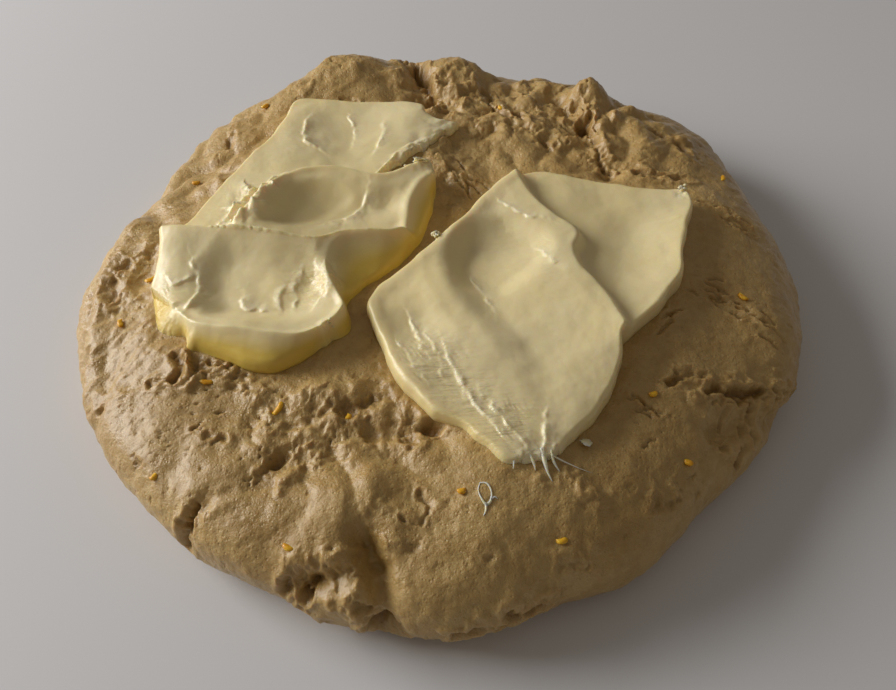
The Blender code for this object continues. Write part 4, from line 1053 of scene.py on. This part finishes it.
# threads that the right slab's tip pulls over the dough, and a small ring of film in front of it
threadForm = dict(
    # points (x, y, share of the way down from the slab's top to the dough) and radii
    strands=[([(23.5, -87.5, 0.05), (25, -90.5, 0.5), (25.8, -93, 1)], [0.25, 0.5, 0.12]),
             ([(27.5, -87, 0.05), (28.4, -90.5, 0.4), (29.4, -93.5, 0.9), (30.6, -96, 1)],
              [0.4, 0.7, 0.35, 0.1]),
             ([(30.5, -87.5, 0.05), (31.2, -90.5, 0.5), (33, -93, 1)], [0.3, 0.45, 0.1]),
             ([(19.3, -88.5, 0.1), (19.4, -90.8, 0.5), (19.2, -92.6, 1)], [0.25, 0.35, 0.1]),
             ([(30.5, -89, 0.1), (34.5, -90, 0.7), (39, -91.5, 1), (43, -92.2, 1)],
              [0.35, 0.22, 0.14, 0.08])],
    flap=(42, -82.5, (4.4, 3.0, 0.8)),
    ring=[(9.4, -96.6), (11.4, -97), (12.6, -99.4), (12.4, -102), (11.0, -103.2), (9.6, -101.4),
          (8.8, -99)],
    ringRadii=[0.2, 0.3, 0.22, 0.4, 0.5, 0.24, 0.16, 0.2],
    tails=[([(11.0, -103), (10.9, -105), (10.2, -106.6)], [0.5, 0.3, 0.1]),
           ([(12.4, -101.8), (13.6, -101.0), (14.4, -101.6)], [0.35, 0.25, 0.1])],
)
threadLumps = []
for route, radii in threadForm["strands"]:
    places = []
    for x, y, share in route:
        low, high = surfaceHeight(x, y), butterTop(*slabs["right"], x, y)
        places.append((x, y, high + (low - high) * share if share else high + 0.2))
    threadLumps.append(threadRings(places, radii))
ring = threadForm["ring"] + threadForm["ring"][:1]
for route, radii in [(ring, threadForm["ringRadii"])] + threadForm["tails"]:
    threadLumps.append(threadRings([(x, y, surfaceHeight(x, y) + 0.1) for x, y in route], radii))
x, y, size = threadForm["flap"]
threadLumps.append(beadRings(size, 0.5, (x, y, surfaceHeight(x, y) + 1.0), -0.5, 0.3, 7, 1.0, 9, 12))
threads = joinedLumps("stickyThreads", threadLumps + flakeLumps, sticky)
print("crumbs", len(crumbLumps), "threads", len(threadLumps))


floorLook = dict(colour=(0.72, 0.72, 0.74), roughness=0.6, reach=3.0)
floorMesh = bpy.data.meshes.new("worktop")
half = floorLook["reach"] / 2
corners = [(-half, -half, 0), (half, -half, 0), (half, half, 0), (-half, half, 0)]
floorMesh.from_pydata(corners, [], [(0, 1, 2, 3)])
floor = bpy.data.objects.new("worktop", floorMesh)
bpy.context.scene.collection.objects.link(floor)
floorMaterial, _, floorShader = newMaterial("worktopWhite")
setFinish(floorShader, {"Base Color": (*floorLook["colour"], 1), "Roughness": floorLook["roughness"]})
floorMesh.materials.append(floorMaterial)


def aimedAt(thing, target):
    # its own -Z turned to the target
    thing.rotation_euler = (Vector(target) - thing.location).to_track_quat("-Z", "Y").to_euler()


def softLight(name, place, target, width, height, power, colour):
    # a rectangle of light, in metres and watts
    lamp = bpy.data.lights.new(name, "AREA")
    lamp.shape = "RECTANGLE"
    lamp.size, lamp.size_y, lamp.energy, lamp.color = width, height, power, colour
    light = bpy.data.objects.new(name, lamp)
    light.location = place
    aimedAt(light, target)
    bpy.context.scene.collection.objects.link(light)


windowLight = dict(place=(-1.50, 0.42, 0.66), target=(0, 0, 0), width=1.1, height=0.8, power=30.0,
                   colour=(1.0, 0.985, 0.97))
roomLight = dict(colour=(1.0, 0.90, 0.78), strength=0.175)
softLight("window", **windowLight)
world = bpy.data.worlds.new("room")
world.use_nodes = True
setFinish(world.node_tree.nodes["Background"], {"Color": (*roomLight["colour"], 1),
                                                "Strength": roomLight["strength"]})
bpy.context.scene.world = world
bpy.context.scene.view_settings.view_transform = "Standard"

view = dict(elevation=50.0, distance=0.335, target=(0.0, -0.031, 0.02), width=50.0)
cameraData = bpy.data.cameras.new("camera")
cameraData.sensor_width = 36.0
cameraData.lens = 18.0 / math.tan(math.radians(view["width"] / 2))
camera = bpy.data.objects.new("camera", cameraData)
lookAt = Vector(view["target"]) - Vector((*middle, 0)) * mm
tilt = math.radians(view["elevation"])
camera.location = lookAt + view["distance"] * Vector((0, -math.cos(tilt), math.sin(tilt)))
aimedAt(camera, lookAt)
bpy.context.scene.collection.objects.link(camera)
bpy.context.scene.camera = camera
print("worktop, light and camera")
